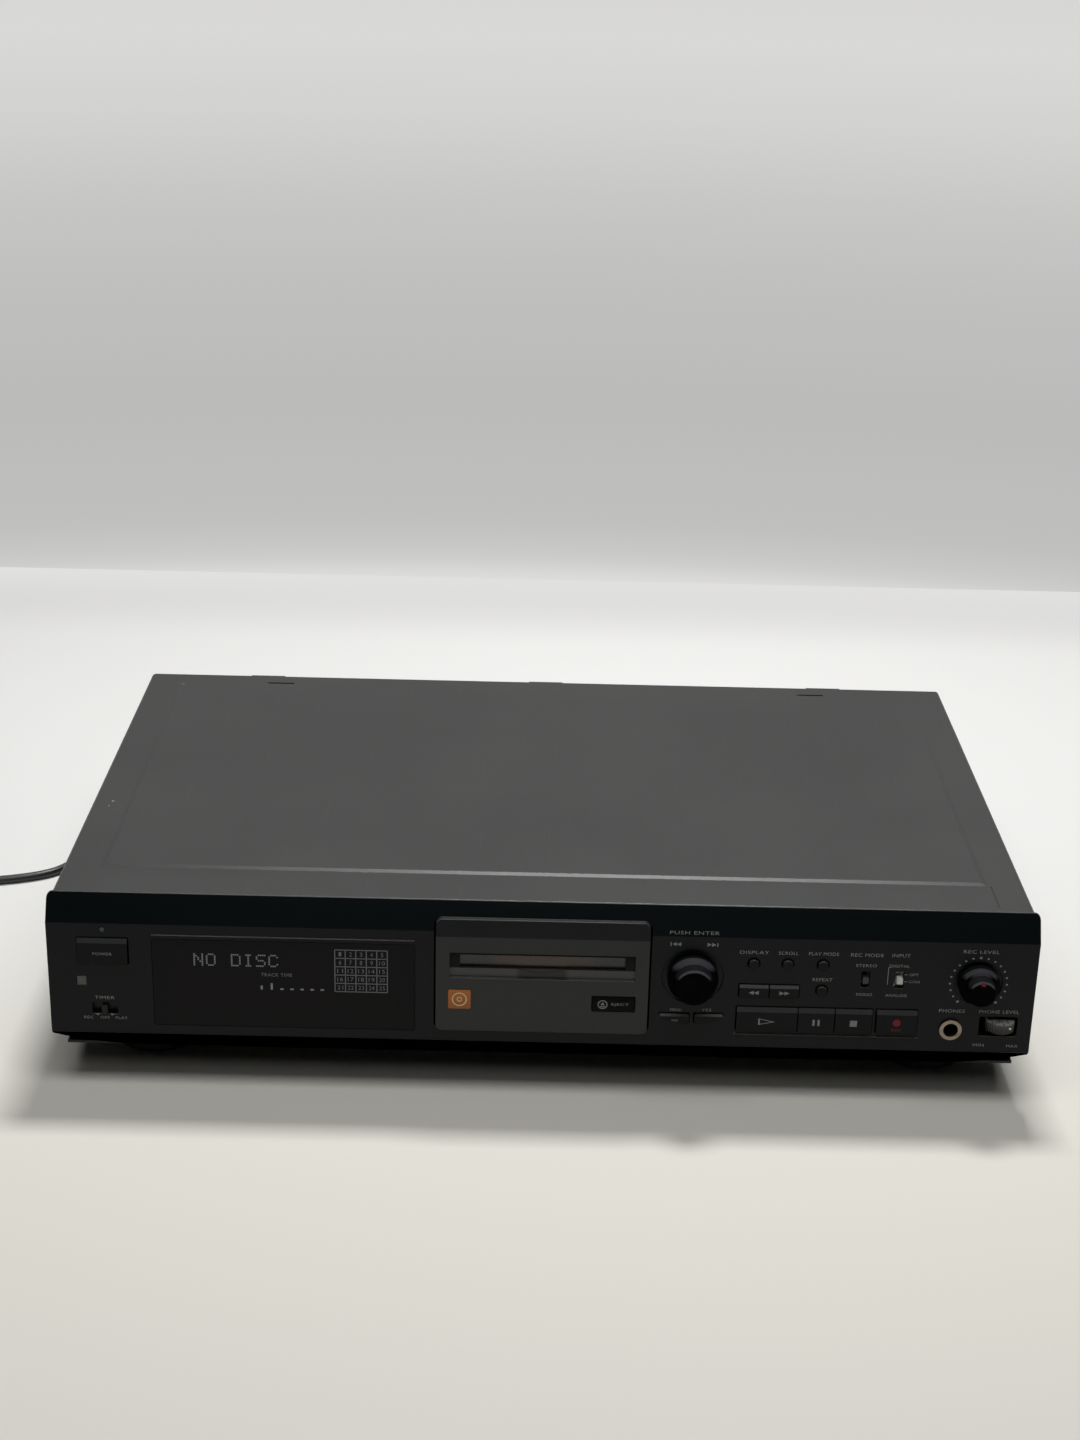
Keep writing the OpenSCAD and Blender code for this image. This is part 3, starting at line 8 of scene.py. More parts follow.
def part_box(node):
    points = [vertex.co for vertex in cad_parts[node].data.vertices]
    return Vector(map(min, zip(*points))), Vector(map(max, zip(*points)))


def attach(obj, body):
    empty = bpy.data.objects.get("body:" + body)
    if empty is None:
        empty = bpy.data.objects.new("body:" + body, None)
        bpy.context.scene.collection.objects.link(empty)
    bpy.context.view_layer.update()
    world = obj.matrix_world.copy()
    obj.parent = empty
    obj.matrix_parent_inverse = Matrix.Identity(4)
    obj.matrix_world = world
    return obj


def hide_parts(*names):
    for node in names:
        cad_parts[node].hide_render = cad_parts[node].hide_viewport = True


bl_info = {
    "name": "Minidisc deck",
    "version": (1, 0, 0),
    "blender": (4, 5, 0),
    "location": "View3D > Sidebar > Deck",
    "description": "Finishes, lettering, readout, cord and stage of a slim minidisc deck",
    "category": "Object",
}

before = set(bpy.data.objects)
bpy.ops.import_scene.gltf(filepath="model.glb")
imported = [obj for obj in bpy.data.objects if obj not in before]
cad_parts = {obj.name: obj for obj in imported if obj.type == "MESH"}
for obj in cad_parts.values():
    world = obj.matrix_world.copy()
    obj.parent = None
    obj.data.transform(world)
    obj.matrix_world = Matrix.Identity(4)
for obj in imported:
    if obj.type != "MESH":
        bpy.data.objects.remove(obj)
MM = 0.001

# places that the pieces share with the solids, in metres; FACE_Z is the face's lower edge
WINDOW_LOW, WINDOW_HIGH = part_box("display_window")
PLATE_LOW, PLATE_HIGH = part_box("disc_escutcheon")
FACE_Y = WINDOW_LOW[1] - 0.05 * MM
FACE_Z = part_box("front_panel")[0][2] + 13.4 * MM
PLATE_Y = FACE_Y - 1.6 * MM
PLATE_X = (PLATE_LOW[0] + PLATE_HIGH[0]) / 2
SLOT_FOOT = 36.2 * MM
KEY_Y = FACE_Y - 1.4 * MM
REAR_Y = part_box("rear_panel")[1][1]

# greys that several finishes share
IN_SHADOW = (0.0005, 0.0005, 0.0005)
ROOM_GREY = (0.60, 0.597, 0.59)


# ---------- sizes and colours ----------

class DeckPrint(bpy.types.PropertyGroup):
    """Lettering and readout"""
    lift: bpy.props.FloatProperty(
        name="Lift", description="How far the print stands off its surface",
        default=0.03 * MM, min=0.0, unit="LENGTH")
    ink: bpy.props.FloatVectorProperty(
        name="Ink", description="Colour of the lettering", default=(0.22, 0.23, 0.225), size=3, subtype="COLOR")
    red: bpy.props.FloatVectorProperty(
        name="Red ink", description="Colour of the record mark",
        default=(0.17, 0.009, 0.022), size=3, subtype="COLOR")
    glow: bpy.props.FloatVectorProperty(
        name="Readout", description="Colour of the lit readout",
        default=(0.62, 0.74, 0.74), size=3, subtype="COLOR")
    glow_strength: bpy.props.FloatProperty(
        name="Readout strength", description="How bright the readout is", default=0.135, min=0.0)


class DeckColours(bpy.types.PropertyGroup):
    """Colours of the larger surfaces"""
    cover: bpy.props.FloatVectorProperty(
        name="Cover", description="Paint of the steel cover",
        default=(0.0198, 0.0216, 0.0198), size=3, subtype="COLOR")
    panel: bpy.props.FloatVectorProperty(
        name="Front panel", description="Moulded front panel",
        default=(0.0014, 0.0031, 0.0036), size=3, subtype="COLOR")
    plate: bpy.props.FloatVectorProperty(
        name="Escutcheon", description="Plate round the disc slot",
        default=(0.0072, 0.0085, 0.0083), size=3, subtype="COLOR")
    keys: bpy.props.FloatVectorProperty(
        name="Keys", description="Push buttons", default=(0.0026, 0.0038, 0.0042), size=3, subtype="COLOR")
    amber: bpy.props.FloatVectorProperty(
        name="Tile", description="Small tile on the escutcheon",
        default=(0.34, 0.105, 0.010), size=3, subtype="COLOR")


class DeckCord(bpy.types.PropertyGroup):
    """Mains cord"""
    diameter: bpy.props.FloatProperty(
        name="Diameter", description="Diameter of the cord",
        default=4.5 * MM, min=3 * MM, max=6 * MM, unit="LENGTH")
    turns: bpy.props.FloatProperty(
        name="Turns", description="Turns in each layer of the stored coil", default=3.375, min=1.0, max=6.0)
    outer: bpy.props.FloatProperty(
        name="Coil radius", description="Outermost turn's radius", default=35.2 * MM, min=25 * MM, unit="LENGTH")


class DeckStage(bpy.types.PropertyGroup):
    """Camera, lamps and backdrop"""
    lens: bpy.props.FloatProperty(
        name="Lens", description="Focal length on a 36 mm high frame, in millimetres", default=56.45)
    floor: bpy.props.FloatVectorProperty(
        name="Floor", description="Colour of the floor", default=(0.96, 0.955, 0.935), size=3, subtype="COLOR")
    overhead: bpy.props.FloatProperty(
        name="Overhead lamp", description="Power of the broad lamp above and in front", default=10.6)
    front: bpy.props.FloatProperty(name="Front lamp", description="Power of the lamp in front", default=0.9)
    behind: bpy.props.FloatProperty(
        name="Rear lamp", description="Power of the small lamp above and behind", default=16.3)
    room: bpy.props.FloatProperty(
        name="Room", description="Brightness of the room's own light", default=0.012, min=0.0)


# ---------- working by hand ----------

def nothing_selected():
    """Leaves every object unselected."""
    bpy.ops.object.select_all(action="DESELECT")


def picked(*objects):
    """Selects only these objects, the first one active."""
    nothing_selected()
    for obj in objects:
        obj.select_set(True)
    bpy.context.view_layer.objects.active = objects[0]


def settled(obj, name, finish, body="deck"):
    """Gives a made piece its name, finish and body, with its place in its mesh."""
    picked(obj)
    bpy.ops.object.transform_apply()
    obj.name = name
    obj.data.name = name
    obj.data.materials.clear()
    obj.data.materials.append(finish)
    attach(obj, body)
    return obj


def joined(objects):
    """Joins objects into the first."""
    picked(*objects)
    if len(objects) > 1:
        bpy.ops.object.join()
    return bpy.context.object


def stood_up(obj, x, rise, width, height, y, facing=-1, foot=FACE_Z):
    """Scales a flat shape and stands it upright, facing the front or, with facing=1, the back.

    x, rise over foot, width and height are in millimetres, foot and y in metres.
    """
    x, z, width, height = x * MM, foot + rise * MM, width * MM, height * MM
    picked(obj)
    points = [v.co for v in obj.data.vertices]
    low = [min(p[i] for p in points) for i in (0, 1)]
    high = [max(p[i] for p in points) for i in (0, 1)]
    across = width / (high[0] - low[0])
    upward = height / (high[1] - low[1])
    middle = ((low[0] + high[0]) / 2 * across, (low[1] + high[1]) / 2 * upward)
    obj.scale = (across, upward, 1.0)
    obj.rotation_euler = (pi / 2, 0, pi if facing > 0 else 0)
    obj.location = (x + facing * middle[0], y, z - middle[1])
    bpy.ops.object.transform_apply()
    return obj


def word(text, x, rise, width, height, y, **standing):
    """A printed word."""
    nothing_selected()
    bpy.ops.object.text_add(location=(0, 0, 0))
    obj = bpy.context.object
    obj.data.body = text
    obj.data.space_character = 1.08
    obj.data.resolution_u = 3
    bpy.ops.object.convert(target="MESH")
    return stood_up(bpy.context.object, x, rise, width, height, y, **standing)


def flat_circle(sides, turn=0.0):
    nothing_selected()
    bpy.ops.mesh.primitive_circle_add(vertices=sides, radius=1, fill_type="NGON", location=(0, 0, 0),
                                      rotation=(0, 0, turn))


def disc_mark(x, rise, width, y, sides=20):
    """A printed dot."""
    flat_circle(sides)
    return stood_up(bpy.context.object, x, rise, width, width, y)


def bar_mark(x, rise, width, height, y):
    """A printed bar."""
    nothing_selected()
    bpy.ops.mesh.primitive_plane_add(size=1, location=(0, 0, 0))
    return stood_up(bpy.context.object, x, rise, width, height, y)


def only_outline(line):
    """Leaves a flat shape's border; line is its width, where the shape's radius is 1."""
    bpy.ops.object.mode_set(mode="EDIT")
    bpy.ops.mesh.select_all(action="SELECT")
    bpy.ops.mesh.inset(thickness=line)
    bpy.ops.mesh.delete(type="FACE")
    bpy.ops.object.mode_set(mode="OBJECT")


def arrow_mark(x, rise, width, height, y, turn=0.0, line=0.0):
    """A printed triangle, pointing right before it is turned; line leaves only its outline."""
    flat_circle(3, turn - pi / 2)
    bpy.ops.object.transform_apply(location=False, rotation=True, scale=False)
    if line:
        only_outline(line)
    return stood_up(bpy.context.object, x, rise, width, height, y)


def ring_mark(x, rise, width, y, line):
    """A printed ring."""
    flat_circle(32)
    only_outline(line)
    return stood_up(bpy.context.object, x, rise, width, width, y)


# ---------- shader building ----------

class Level:
    """A changing value in a material; sums written with it add Math nodes."""

    def __init__(self, tree, socket):
        self.tree = tree
        self.socket = socket

    def sum(self, operation, first, second):
        node = self.tree.nodes.new("ShaderNodeMath")
        node.operation = operation
        for entry, value in zip(node.inputs, (first, second)):
            if isinstance(value, Level):
                self.tree.links.new(value.socket, entry)
            else:
                entry.default_value = value
        return Level(self.tree, node.outputs[0])

    def __add__(self, other):
        return self.sum("ADD", self, other)

    __radd__ = __add__

    def __mul__(self, other):
        return self.sum("MULTIPLY", self, other)

    __rmul__ = __mul__

    def __sub__(self, other):
        return self.sum("SUBTRACT", self, other)

    def __rsub__(self, other):
        return self.sum("SUBTRACT", other, self)

    def __truediv__(self, other):
        return self.sum("DIVIDE", self, other)

    def __gt__(self, other):
        return self.sum("GREATER_THAN", self, other)

    def __lt__(self, other):
        return self.sum("LESS_THAN", self, other)

    def most(self, other):
        return self.sum("MAXIMUM", self, other)

    def step(self, low, high):
        """0 below low and 1 above high, smooth between."""
        node = self.tree.nodes.new("ShaderNodeMapRange")
        node.interpolation_type = "SMOOTHSTEP"
        self.tree.links.new(self.socket, node.inputs["Value"])
        node.inputs["From Min"].default_value = low
        node.inputs["From Max"].default_value = high
        return Level(self.tree, node.outputs["Result"])


class Finish:
    """A material under construction, with one Principled surface."""

    def __init__(self, name):
        self.material = bpy.data.materials.new(name)
        self.material.use_nodes = True
        self.tree = self.material.node_tree
        self.tree.nodes.clear()
        self.surface = self.tree.nodes.new("ShaderNodeBsdfPrincipled")
        self.out = self.tree.nodes.new("ShaderNodeOutputMaterial")
        self.tree.links.new(self.surface.outputs[0], self.out.inputs["Surface"])

    def node(self, kind, settings=None, values=None, output=0):
        """Adds a node, its settings first, then its sockets' values or links."""
        node = self.tree.nodes.new(kind)
        for key, value in (settings or {}).items():
            if key == "stops":
                ramp = node.color_ramp
                while len(ramp.elements) < len(value):
                    ramp.elements.new(0.5)
                for element, (place, colour) in zip(ramp.elements, value):
                    element.position = place
                    element.color = (*colour, 1.0)
            else:
                setattr(node, key, value)
        for key, value in (values or {}).items():
            self.put(node.inputs[key], value)
        return Level(self.tree, node.outputs[output])

    def put(self, entry, value):
        if isinstance(value, Level):
            self.tree.links.new(value.socket, entry)
        elif isinstance(value, (tuple, list)) and len(value) == 3 and entry.type == "RGBA":
            entry.default_value = (*value, 1.0)
        else:
            entry.default_value = value

    def place(self, stretch=(1, 1, 1)):
        """Object coordinates, stretched for streaks."""
        where = self.node("ShaderNodeTexCoord", output=3)
        return self.node("ShaderNodeMapping", values={"Vector": where, "Scale": stretch})

    def noise(self, scale, detail=2.0, rough=0.5, stretch=(1, 1, 1)):
        return self.node("ShaderNodeTexNoise", values={"Vector": self.place(stretch), "Scale": scale,
                                                       "Detail": detail, "Roughness": rough})

    def streaks(self, stretch, detail=2.0, rough=0.5):
        return self.noise(1.0, detail, rough, stretch)

    def part(self, vector, index):
        return self.node("ShaderNodeSeparateXYZ", values={"Vector": vector}, output=index)

    def axis(self, index):
        return self.part(self.node("ShaderNodeTexCoord", output=3), index)

    def blend(self, mask, first, second):
        """The first colour where the mask is 0, the second where it is 1."""
        return self.node("ShaderNodeMix", settings={"data_type": "RGBA"}, values={0: mask, 6: first, 7: second},
                         output=2)

    def relief(self, height, depth, edge=0.0):
        """A bump of a depth in metres, over edges that are rounded by edge millimetres."""
        values = {"Height": height, "Distance": depth, "Strength": 1.0}
        if edge:
            values["Normal"] = self.soft_edge(edge * MM)
        return self.node("ShaderNodeBump", values=values)

    def soft_edge(self, radius):
        """The slight round that a moulded or painted edge has."""
        return self.node("ShaderNodeBevel", settings={"samples": 6}, values={"Radius": radius})

    def turned_edge(self, radius):
        """The rounded normal, and how far it turns away from the flat one."""
        turned = self.soft_edge(radius)
        flat = self.node("ShaderNodeNewGeometry", output=1)
        return turned, 1 - self.node("ShaderNodeVectorMath", settings={"operation": "DOT_PRODUCT"},
                                     values={0: turned, 1: flat}, output=1)

    def painted_highlight_edge(self, radius):
        """Where a rounded edge turns upwards: the mask for a painted highlight that makes it a little lighter."""
        turned, apart = self.turned_edge(radius)
        return apart.step(0.01, 0.12) * self.part(turned, 2).step(0.25, 0.7)

    def sloped_up(self, level=0.0):
        """Bevels that lean back and face the light, and some of the level faces behind them: where a painted
        highlight goes.
        """
        flat = self.node("ShaderNodeNewGeometry", output=1)
        y, upward = self.part(flat, 1), self.part(flat, 2)
        return upward.step(0.30, 0.50) * ((y * -1).step(0.2, 0.4) * (1 - level) + level)

    def rim(self, radius):
        """The narrow rounded border where a piece turns down into its gap, which takes painted shade."""
        return self.turned_edge(radius)[1].step(0.005, 0.06)

    def over(self, mask, shader):
        """Shows another shader where the mask is 1."""
        under = Level(self.tree, self.surface.outputs[0])
        mix = self.node("ShaderNodeMixShader", values={0: mask, 1: under, 2: shader})
        self.tree.links.new(mix.socket, self.out.inputs["Surface"])
        return self.material

    def give(self, tone, rough, normal=None, level=0.5, **more):
        """Sets the surface's colour, roughness, normal, specular level and other values."""
        values = {"Base Color": tone, "Roughness": rough, "Specular IOR Level": level}
        if normal is not None:
            values["Normal"] = normal
        values.update((key.replace("_", " "), value) for key, value in more.items())
        for key, value in values.items():
            self.put(self.surface.inputs[key], value)
        return self.material


def shade(colour, factor):
    return tuple(min(1.0, c * factor) for c in colour)


# ---------- finishes ----------

# pale spots on the cover's paint: x, y and radius in millimetres; the first is a painted highlight, the other two
# are pale specks
PALE_SPOTS = [(-193.5, 121.0, 0.8), (-203.4, -32.9, 0.6), (-204.3, -38.5, 0.4)]


def cover_paint():
    """Fine textured black paint on steel, with faint dust and rubbed places."""
    colour = tuple(bpy.context.scene.deck_colours.cover)
    mat = Finish("cover_paint")
    grain = mat.noise(2600, detail=1.0)
    patches = mat.noise(9, detail=4.0, rough=0.6)
    rubs = mat.streaks((260, 30, 260)).step(0.62, 0.78)
    specks = mat.node("ShaderNodeTexVoronoi", values={"Vector": mat.place(), "Scale": 420})
    dust = specks.step(0.10, 0.04) * mat.noise(60).step(0.58, 0.70)
    tone = mat.blend(patches.step(0.35, 0.7), colour, shade(colour, 1.35))
    tone = mat.blend(dust * 0.25, tone, (0.20, 0.20, 0.21))
    x, y = mat.axis(0), mat.axis(1)
    # pale spots, the first of them a painted highlight
    for spot_x, spot_y, size in PALE_SPOTS:
        across, along = x - spot_x * MM, y - spot_y * MM
        tone = mat.blend(across * across + along * along < (size * MM) ** 2, tone, (0.30, 0.30, 0.30))
    rough = 0.33 + grain * 0.08 + patches * 0.06 - rubs * 0.04
    return mat.give(tone, rough, mat.relief(grain, 1.6e-5, edge=0.35), level=0.36)


def panel_moulding():
    """Moulded black front with fine level brushing."""
    colour = tuple(bpy.context.scene.deck_colours.panel)
    mat = Finish("panel_moulding")
    lines = mat.streaks((18, 900, 4200), detail=3.0, rough=0.7)
    cloud = mat.noise(14, detail=3.0)
    tone = mat.blend(lines * 0.6 + cloud * 0.4, shade(colour, 0.72), shade(colour, 1.45))
    x, z = mat.axis(0), mat.axis(2)
    near = 2 * MM
    under_window = ((x > WINDOW_LOW[0] - near) * (x < WINDOW_HIGH[0] + near)
                    * (z > WINDOW_LOW[2] - near) * (z < WINDOW_LOW[2] + near))
    # painted shade on the narrow rim where the face turns into its openings
    tone = mat.blend(mat.rim(0.7 * MM) * 0.9, tone, (0.0003, 0.0003, 0.0003))
    # painted highlight along the upturned edges, left out under the window
    tone = mat.blend(mat.painted_highlight_edge(0.7 * MM) * (1 - under_window), tone, (0.14, 0.14, 0.138))
    # painted shadow on the face round the escutcheon, following its rounded lower corners
    corner, wide = 3.5 * MM, 0.9 * MM
    across = x - PLATE_X
    aside = (across.most(across * -1) - (PLATE_HIGH[0] - PLATE_X - corner)).most(0.0)
    below = (PLATE_LOW[2] + corner - z).most(0.0)
    painted_shadow = ((aside * aside + below * below) < (corner + wide) ** 2) * (z < PLATE_HIGH[2] - near)
    # under the face the chin gets painted shade too
    painted_shadow = painted_shadow.most(z < FACE_Z - 0.3 * MM)
    mat.give(tone, 0.25 + lines * 0.10 + cloud * 0.04, mat.relief(lines, 0.6e-5, edge=0.4), level=0.16)
    return mat.over(painted_shadow, mat.node("ShaderNodeBsdfDiffuse", values={"Color": (0.0002, 0.0002, 0.0002)}))


def plate_satin():
    """Dark grey satin plate round the disc slot, finely brushed."""
    colour = tuple(bpy.context.scene.deck_colours.plate)
    mat = Finish("plate_satin")
    lines = mat.streaks((24, 900, 3600), detail=3.0, rough=0.65)
    tone = mat.blend(lines, shade(colour, 0.82), shade(colour, 1.22))
    # painted highlight along the upturned edges
    tone = mat.blend(mat.painted_highlight_edge(0.6 * MM), tone, (0.14, 0.14, 0.14))
    x, y, z = (mat.axis(k) for k in range(3))
    # painted highlight on the lip under the slot, painted shade in its finger notch, and painted shadow on the
    # plate's left side
    lip = (y > PLATE_Y + 0.2 * MM) * (z > FACE_Z + 31 * MM) * (z < FACE_Z + SLOT_FOOT)
    notch = 1 - ((x - PLATE_X) * (x - PLATE_X)).step((9 * MM) ** 2, (12 * MM) ** 2)
    tone = mat.blend(lip, tone, mat.blend(notch * 0.85, (0.040, 0.040, 0.039), (0.004, 0.004, 0.004)))
    left_side = (y > PLATE_Y + 0.45 * MM) * (z < FACE_Z + 44 * MM) * (x < PLATE_LOW[0] + 1.2 * MM)
    tone = mat.blend(left_side, tone, IN_SHADOW)
    mat.give(tone, 0.34 + lines * 0.12, mat.relief(lines, 0.8e-5, edge=0.45), level=0.38)
    # painted shade: the sunk frame beside and over the slot is drawn dark and matt
    painted_shade_frame = ((y > PLATE_Y + 0.7 * MM) * (z > FACE_Z + SLOT_FOOT) * (z < FACE_Z + 44.3 * MM)
            * (x * x < (41 * MM) ** 2))
    return mat.over(painted_shade_frame, mat.node("ShaderNodeBsdfDiffuse", values={"Color": (0.016, 0.018, 0.018)}))


def moulded(name, colour, rough=0.42, grain=2200.0, depth=1.2e-5, edge=0.25, level=0.45, painted_slope_highlight=None):
    """Moulded plastic: fine spark grain, slight handling shine and soft edges, with a painted highlight on the
    upper edges and, given a slope colour, painted shade at the rim and painted highlights on the slopes.
    """
    mat = Finish(name)
    spark = mat.noise(grain, detail=1.5)
    worn = mat.noise(55, detail=3.0)
    tone = mat.blend(worn.step(0.3, 0.75), shade(colour, 0.88), shade(colour, 1.16))
    # painted highlight: a lighter copy of the colour along the upturned edges
    tone = mat.blend(mat.painted_highlight_edge(edge * MM) * 0.5, tone, shade(colour, 8.0))
    if painted_slope_highlight:
        # painted shade on the rim where the piece turns into its gap
        tone = mat.blend(mat.rim(2.1 * edge * MM) * 0.9, tone, IN_SHADOW)
        # painted highlight on the bevels that lean back towards the light
        tone = mat.blend(mat.sloped_up(0.15), tone, painted_slope_highlight)
    return mat.give(tone, rough + spark * 0.1 - worn * 0.08, mat.relief(spark, depth, edge), level=level)


def wheel_finish():
    """Crowned grey thumbwheel, with painted shade towards its bottom and a painted highlight along its upper edge.
    """
    mat = Finish("wheel_grey")
    # painted light and shade: darker low on the wheel, lighter towards its top
    height = mat.axis(2).step(FACE_Z + 10.6 * MM, FACE_Z + 15.6 * MM)
    ribs = mat.streaks((900, 900, 60))
    tone = mat.blend(height, (0.016, 0.014, 0.014), (0.075, 0.071, 0.069))
    # painted highlight along the top, broken by the ribs
    tone = mat.blend(height.step(0.85, 0.97) * ribs.step(0.35, 0.6), tone, (0.28, 0.27, 0.255))
    return mat.give(tone, 0.26 + ribs * 0.1, mat.relief(ribs, 2e-5, edge=0.3), level=0.3)


def shutter_bronze():
    """Shutter with a brown cast in its middle, darker to its ends."""
    mat = Finish("shutter_bronze")
    x = mat.axis(0) - PLATE_X
    spark = mat.noise(2200, detail=1.5)
    broad = mat.noise(40, stretch=(1, 1, 6))
    ends = (x * x / (27 * MM) ** 2 + broad * 0.3 - 0.15).step(0.25, 1.0)
    tone = mat.blend(ends, (0.062, 0.037, 0.026), (0.020, 0.020, 0.019))
    return mat.give(tone, 0.24 + spark * 0.1, mat.relief(spark, 1.2e-5, edge=0.25), level=0.5)


def window_smoke():
    """Smoked display window, polished, with its dark border printed inside."""
    mat = Finish("window_smoke")
    x, z = mat.axis(0), mat.axis(2)
    middle_x = (WINDOW_LOW[0] + WINDOW_HIGH[0]) / 2
    middle_z = (WINDOW_LOW[2] + WINDOW_HIGH[2]) / 2 + 3 * MM
    across = (x - middle_x) * (x - middle_x) / (51 * MM) ** 2
    upward = (z - middle_z) * (z - middle_z) / (15 * MM) ** 2
    inside = 1 - across.most(upward).step(0.94, 1.0)
    mesh = mat.node("ShaderNodeTexWave", settings={"wave_type": "BANDS", "bands_direction": "X"},
                    values={"Vector": mat.place(), "Scale": 900.0})
    haze = mat.noise(22, detail=3.0)
    deep = mat.blend(mesh * 0.35, (0.0036, 0.0024, 0.0036), (0.0048, 0.0034, 0.0046))
    low_right = x.step(middle_x - 10 * MM, WINDOW_HIGH[0]) * (1 - z.step(WINDOW_LOW[2], middle_z))
    deep = mat.blend(low_right, deep, (0.0016, 0.0040, 0.0028))
    tone = mat.blend(inside, (0.0014, 0.0028, 0.0028), deep)
    return mat.give(tone, 0.16 + haze * 0.08, mat.relief(haze, 0.5e-5, edge=0.3), level=0.11)


def plated(name, colour, rough):
    """Bright plating with turning marks and faint tarnish."""
    mat = Finish(name)
    marks = mat.streaks((500, 5200, 500))
    tarnish = mat.noise(240, detail=3.0).step(0.4, 0.75)
    tone = mat.blend(tarnish, colour, shade(colour, 0.72))
    return mat.give(tone, rough + marks * 0.08 + tarnish * 0.12,
                    mat.relief(marks, 0.5e-5, edge=0.15), Metallic=1.0)


def zinc_sheet(name, colour):
    """Zinc plated sheet with its soft spangle and rolling lines."""
    mat = Finish(name)
    spangle = mat.node("ShaderNodeTexVoronoi", settings={"feature": "F1"},
                       values={"Vector": mat.place(), "Scale": 120.0, "Randomness": 1.0}, output=1)
    grey = mat.part(spangle, 0)
    rolled = mat.streaks((30, 1800, 1800))
    tone = mat.blend(grey, shade(colour, 0.72), colour)
    return mat.give(tone, 0.32 + rolled * 0.14 + grey * 0.08,
                    mat.relief(rolled, 0.6e-5, edge=0.15), Metallic=0.9)


def board_laminate(name, colour, copper):
    """Circuit board: solder mask with tracks under it."""
    mat = Finish(name)
    tracks = mat.node("ShaderNodeTexBrick", settings={"offset": 0.5},
                      values={"Vector": mat.place(), "Scale": 90.0, "Mortar Size": 0.06, "Color1": (0, 0, 0),
                              "Color2": (0.25, 0.25, 0.25), "Mortar": (1, 1, 1)}, output=1)
    blotch = mat.noise(300)
    tone = mat.blend(tracks * 0.7, shade(colour, 0.9), copper)
    tone = mat.blend(blotch * 0.3, tone, shade(colour, 1.3))
    return mat.give(tone, 0.38 + blotch * 0.15, mat.relief(tracks, 2e-5))


def varnished_core():
    """Transformer laminations under varnish, with tape round the winding."""
    mat = Finish("varnished_core")
    sheets = mat.node("ShaderNodeTexWave", settings={"wave_type": "BANDS", "bands_direction": "Y"},
                      values={"Vector": mat.place(), "Scale": 320.0, "Distortion": 0.6})
    rust = mat.noise(160, detail=4.0).step(0.55, 0.75)
    tone = mat.blend(sheets, (0.05, 0.052, 0.055), (0.13, 0.13, 0.135))
    tone = mat.blend(rust * 0.5, tone, (0.10, 0.045, 0.02))
    return mat.give(tone, 0.42 + rust * 0.3, mat.relief(sheets, 4e-5), Metallic=0.4)


def pad_felt():
    """Felted rubber pad: short matted fibres."""
    mat = Finish("pad_felt")
    fibre = mat.noise(1800, detail=4.0, rough=0.7)
    clump = mat.noise(260)
    tone = mat.blend(fibre, (0.045, 0.045, 0.043), (0.14, 0.14, 0.13))
    return mat.give(tone, 0.9, mat.relief(fibre + clump, 1.2e-4))


def cord_vinyl():
    """Soft black vinyl of the mains cord, with extrusion marks and dust."""
    mat = Finish("cord_vinyl")
    ripple = mat.noise(700)
    dust = mat.noise(70, detail=4.0).step(0.5, 0.8)
    tone = mat.blend(dust * 0.4, (0.010, 0.010, 0.011), (0.035, 0.035, 0.036))
    return mat.give(tone, 0.36 + dust * 0.25, mat.relief(ripple, 3e-5))


def lamp_lens():
    """Standby lamp, softly lit from within."""
    mat = Finish("lamp_lens")
    depth = mat.noise(900)
    tone = mat.blend(depth, (0.004, 0.024, 0.012), (0.008, 0.042, 0.021))
    return mat.give(tone, 0.2 + depth * 0.1, Emission_Color=tone, Emission_Strength=0.12)


def ink(name, colour, rough=0.5):
    """Screen-printed ink, a little uneven."""
    mat = Finish(name)
    wear = mat.noise(1500, detail=3.0)
    tone = mat.blend(wear, shade(colour, 0.80), shade(colour, 1.08))
    return mat.give(tone, rough + wear * 0.15, mat.relief(wear, 0.6e-5), level=0.2)


def readout_glow(name, factor):
    """Lit phosphor of the readout, brighter in the middle of each stroke."""
    readout = bpy.context.scene.deck_print
    colour = tuple(readout.glow)
    mat = Finish(name)
    shimmer = mat.noise(900, detail=1.0)
    tone = mat.blend(shimmer, shade(colour, 0.75), colour)
    return mat.give((0.02, 0.02, 0.02), 0.4, Emission_Color=tone, Emission_Strength=readout.glow_strength * factor)


def amber_tile_finish():
    """Printed amber tile, a little uneven, with a fine sparkle."""
    colour = tuple(bpy.context.scene.deck_colours.amber)
    mat = Finish("amber_tile")
    sparkle = mat.noise(1300)
    fade = mat.axis(2).step(FACE_Z + 16 * MM, FACE_Z + 27 * MM)
    tone = mat.blend(fade * 0.6 + sparkle * 0.4, shade(colour, 0.7), shade(colour, 1.15))
    return mat.give(tone, 0.34 + sparkle * 0.2, mat.relief(sparkle, 1e-5), Metallic=0.25)


def coat(material, *nodes):
    """Gives solids their finish, each on its only material slot."""
    for name in nodes:
        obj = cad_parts[name]
        obj.data.materials.clear()
        obj.data.materials.append(material)


# ---------- operators: finishes on the solids ----------

KEYS = ("power_button", "menu_button", "yes_button", "rewind_button", "fast_forward_button", "play_button",
        "pause_button", "stop_button", "record_button")
ROUND_KEYS = ("display_button", "scroll_button", "play_mode_button", "repeat_button")


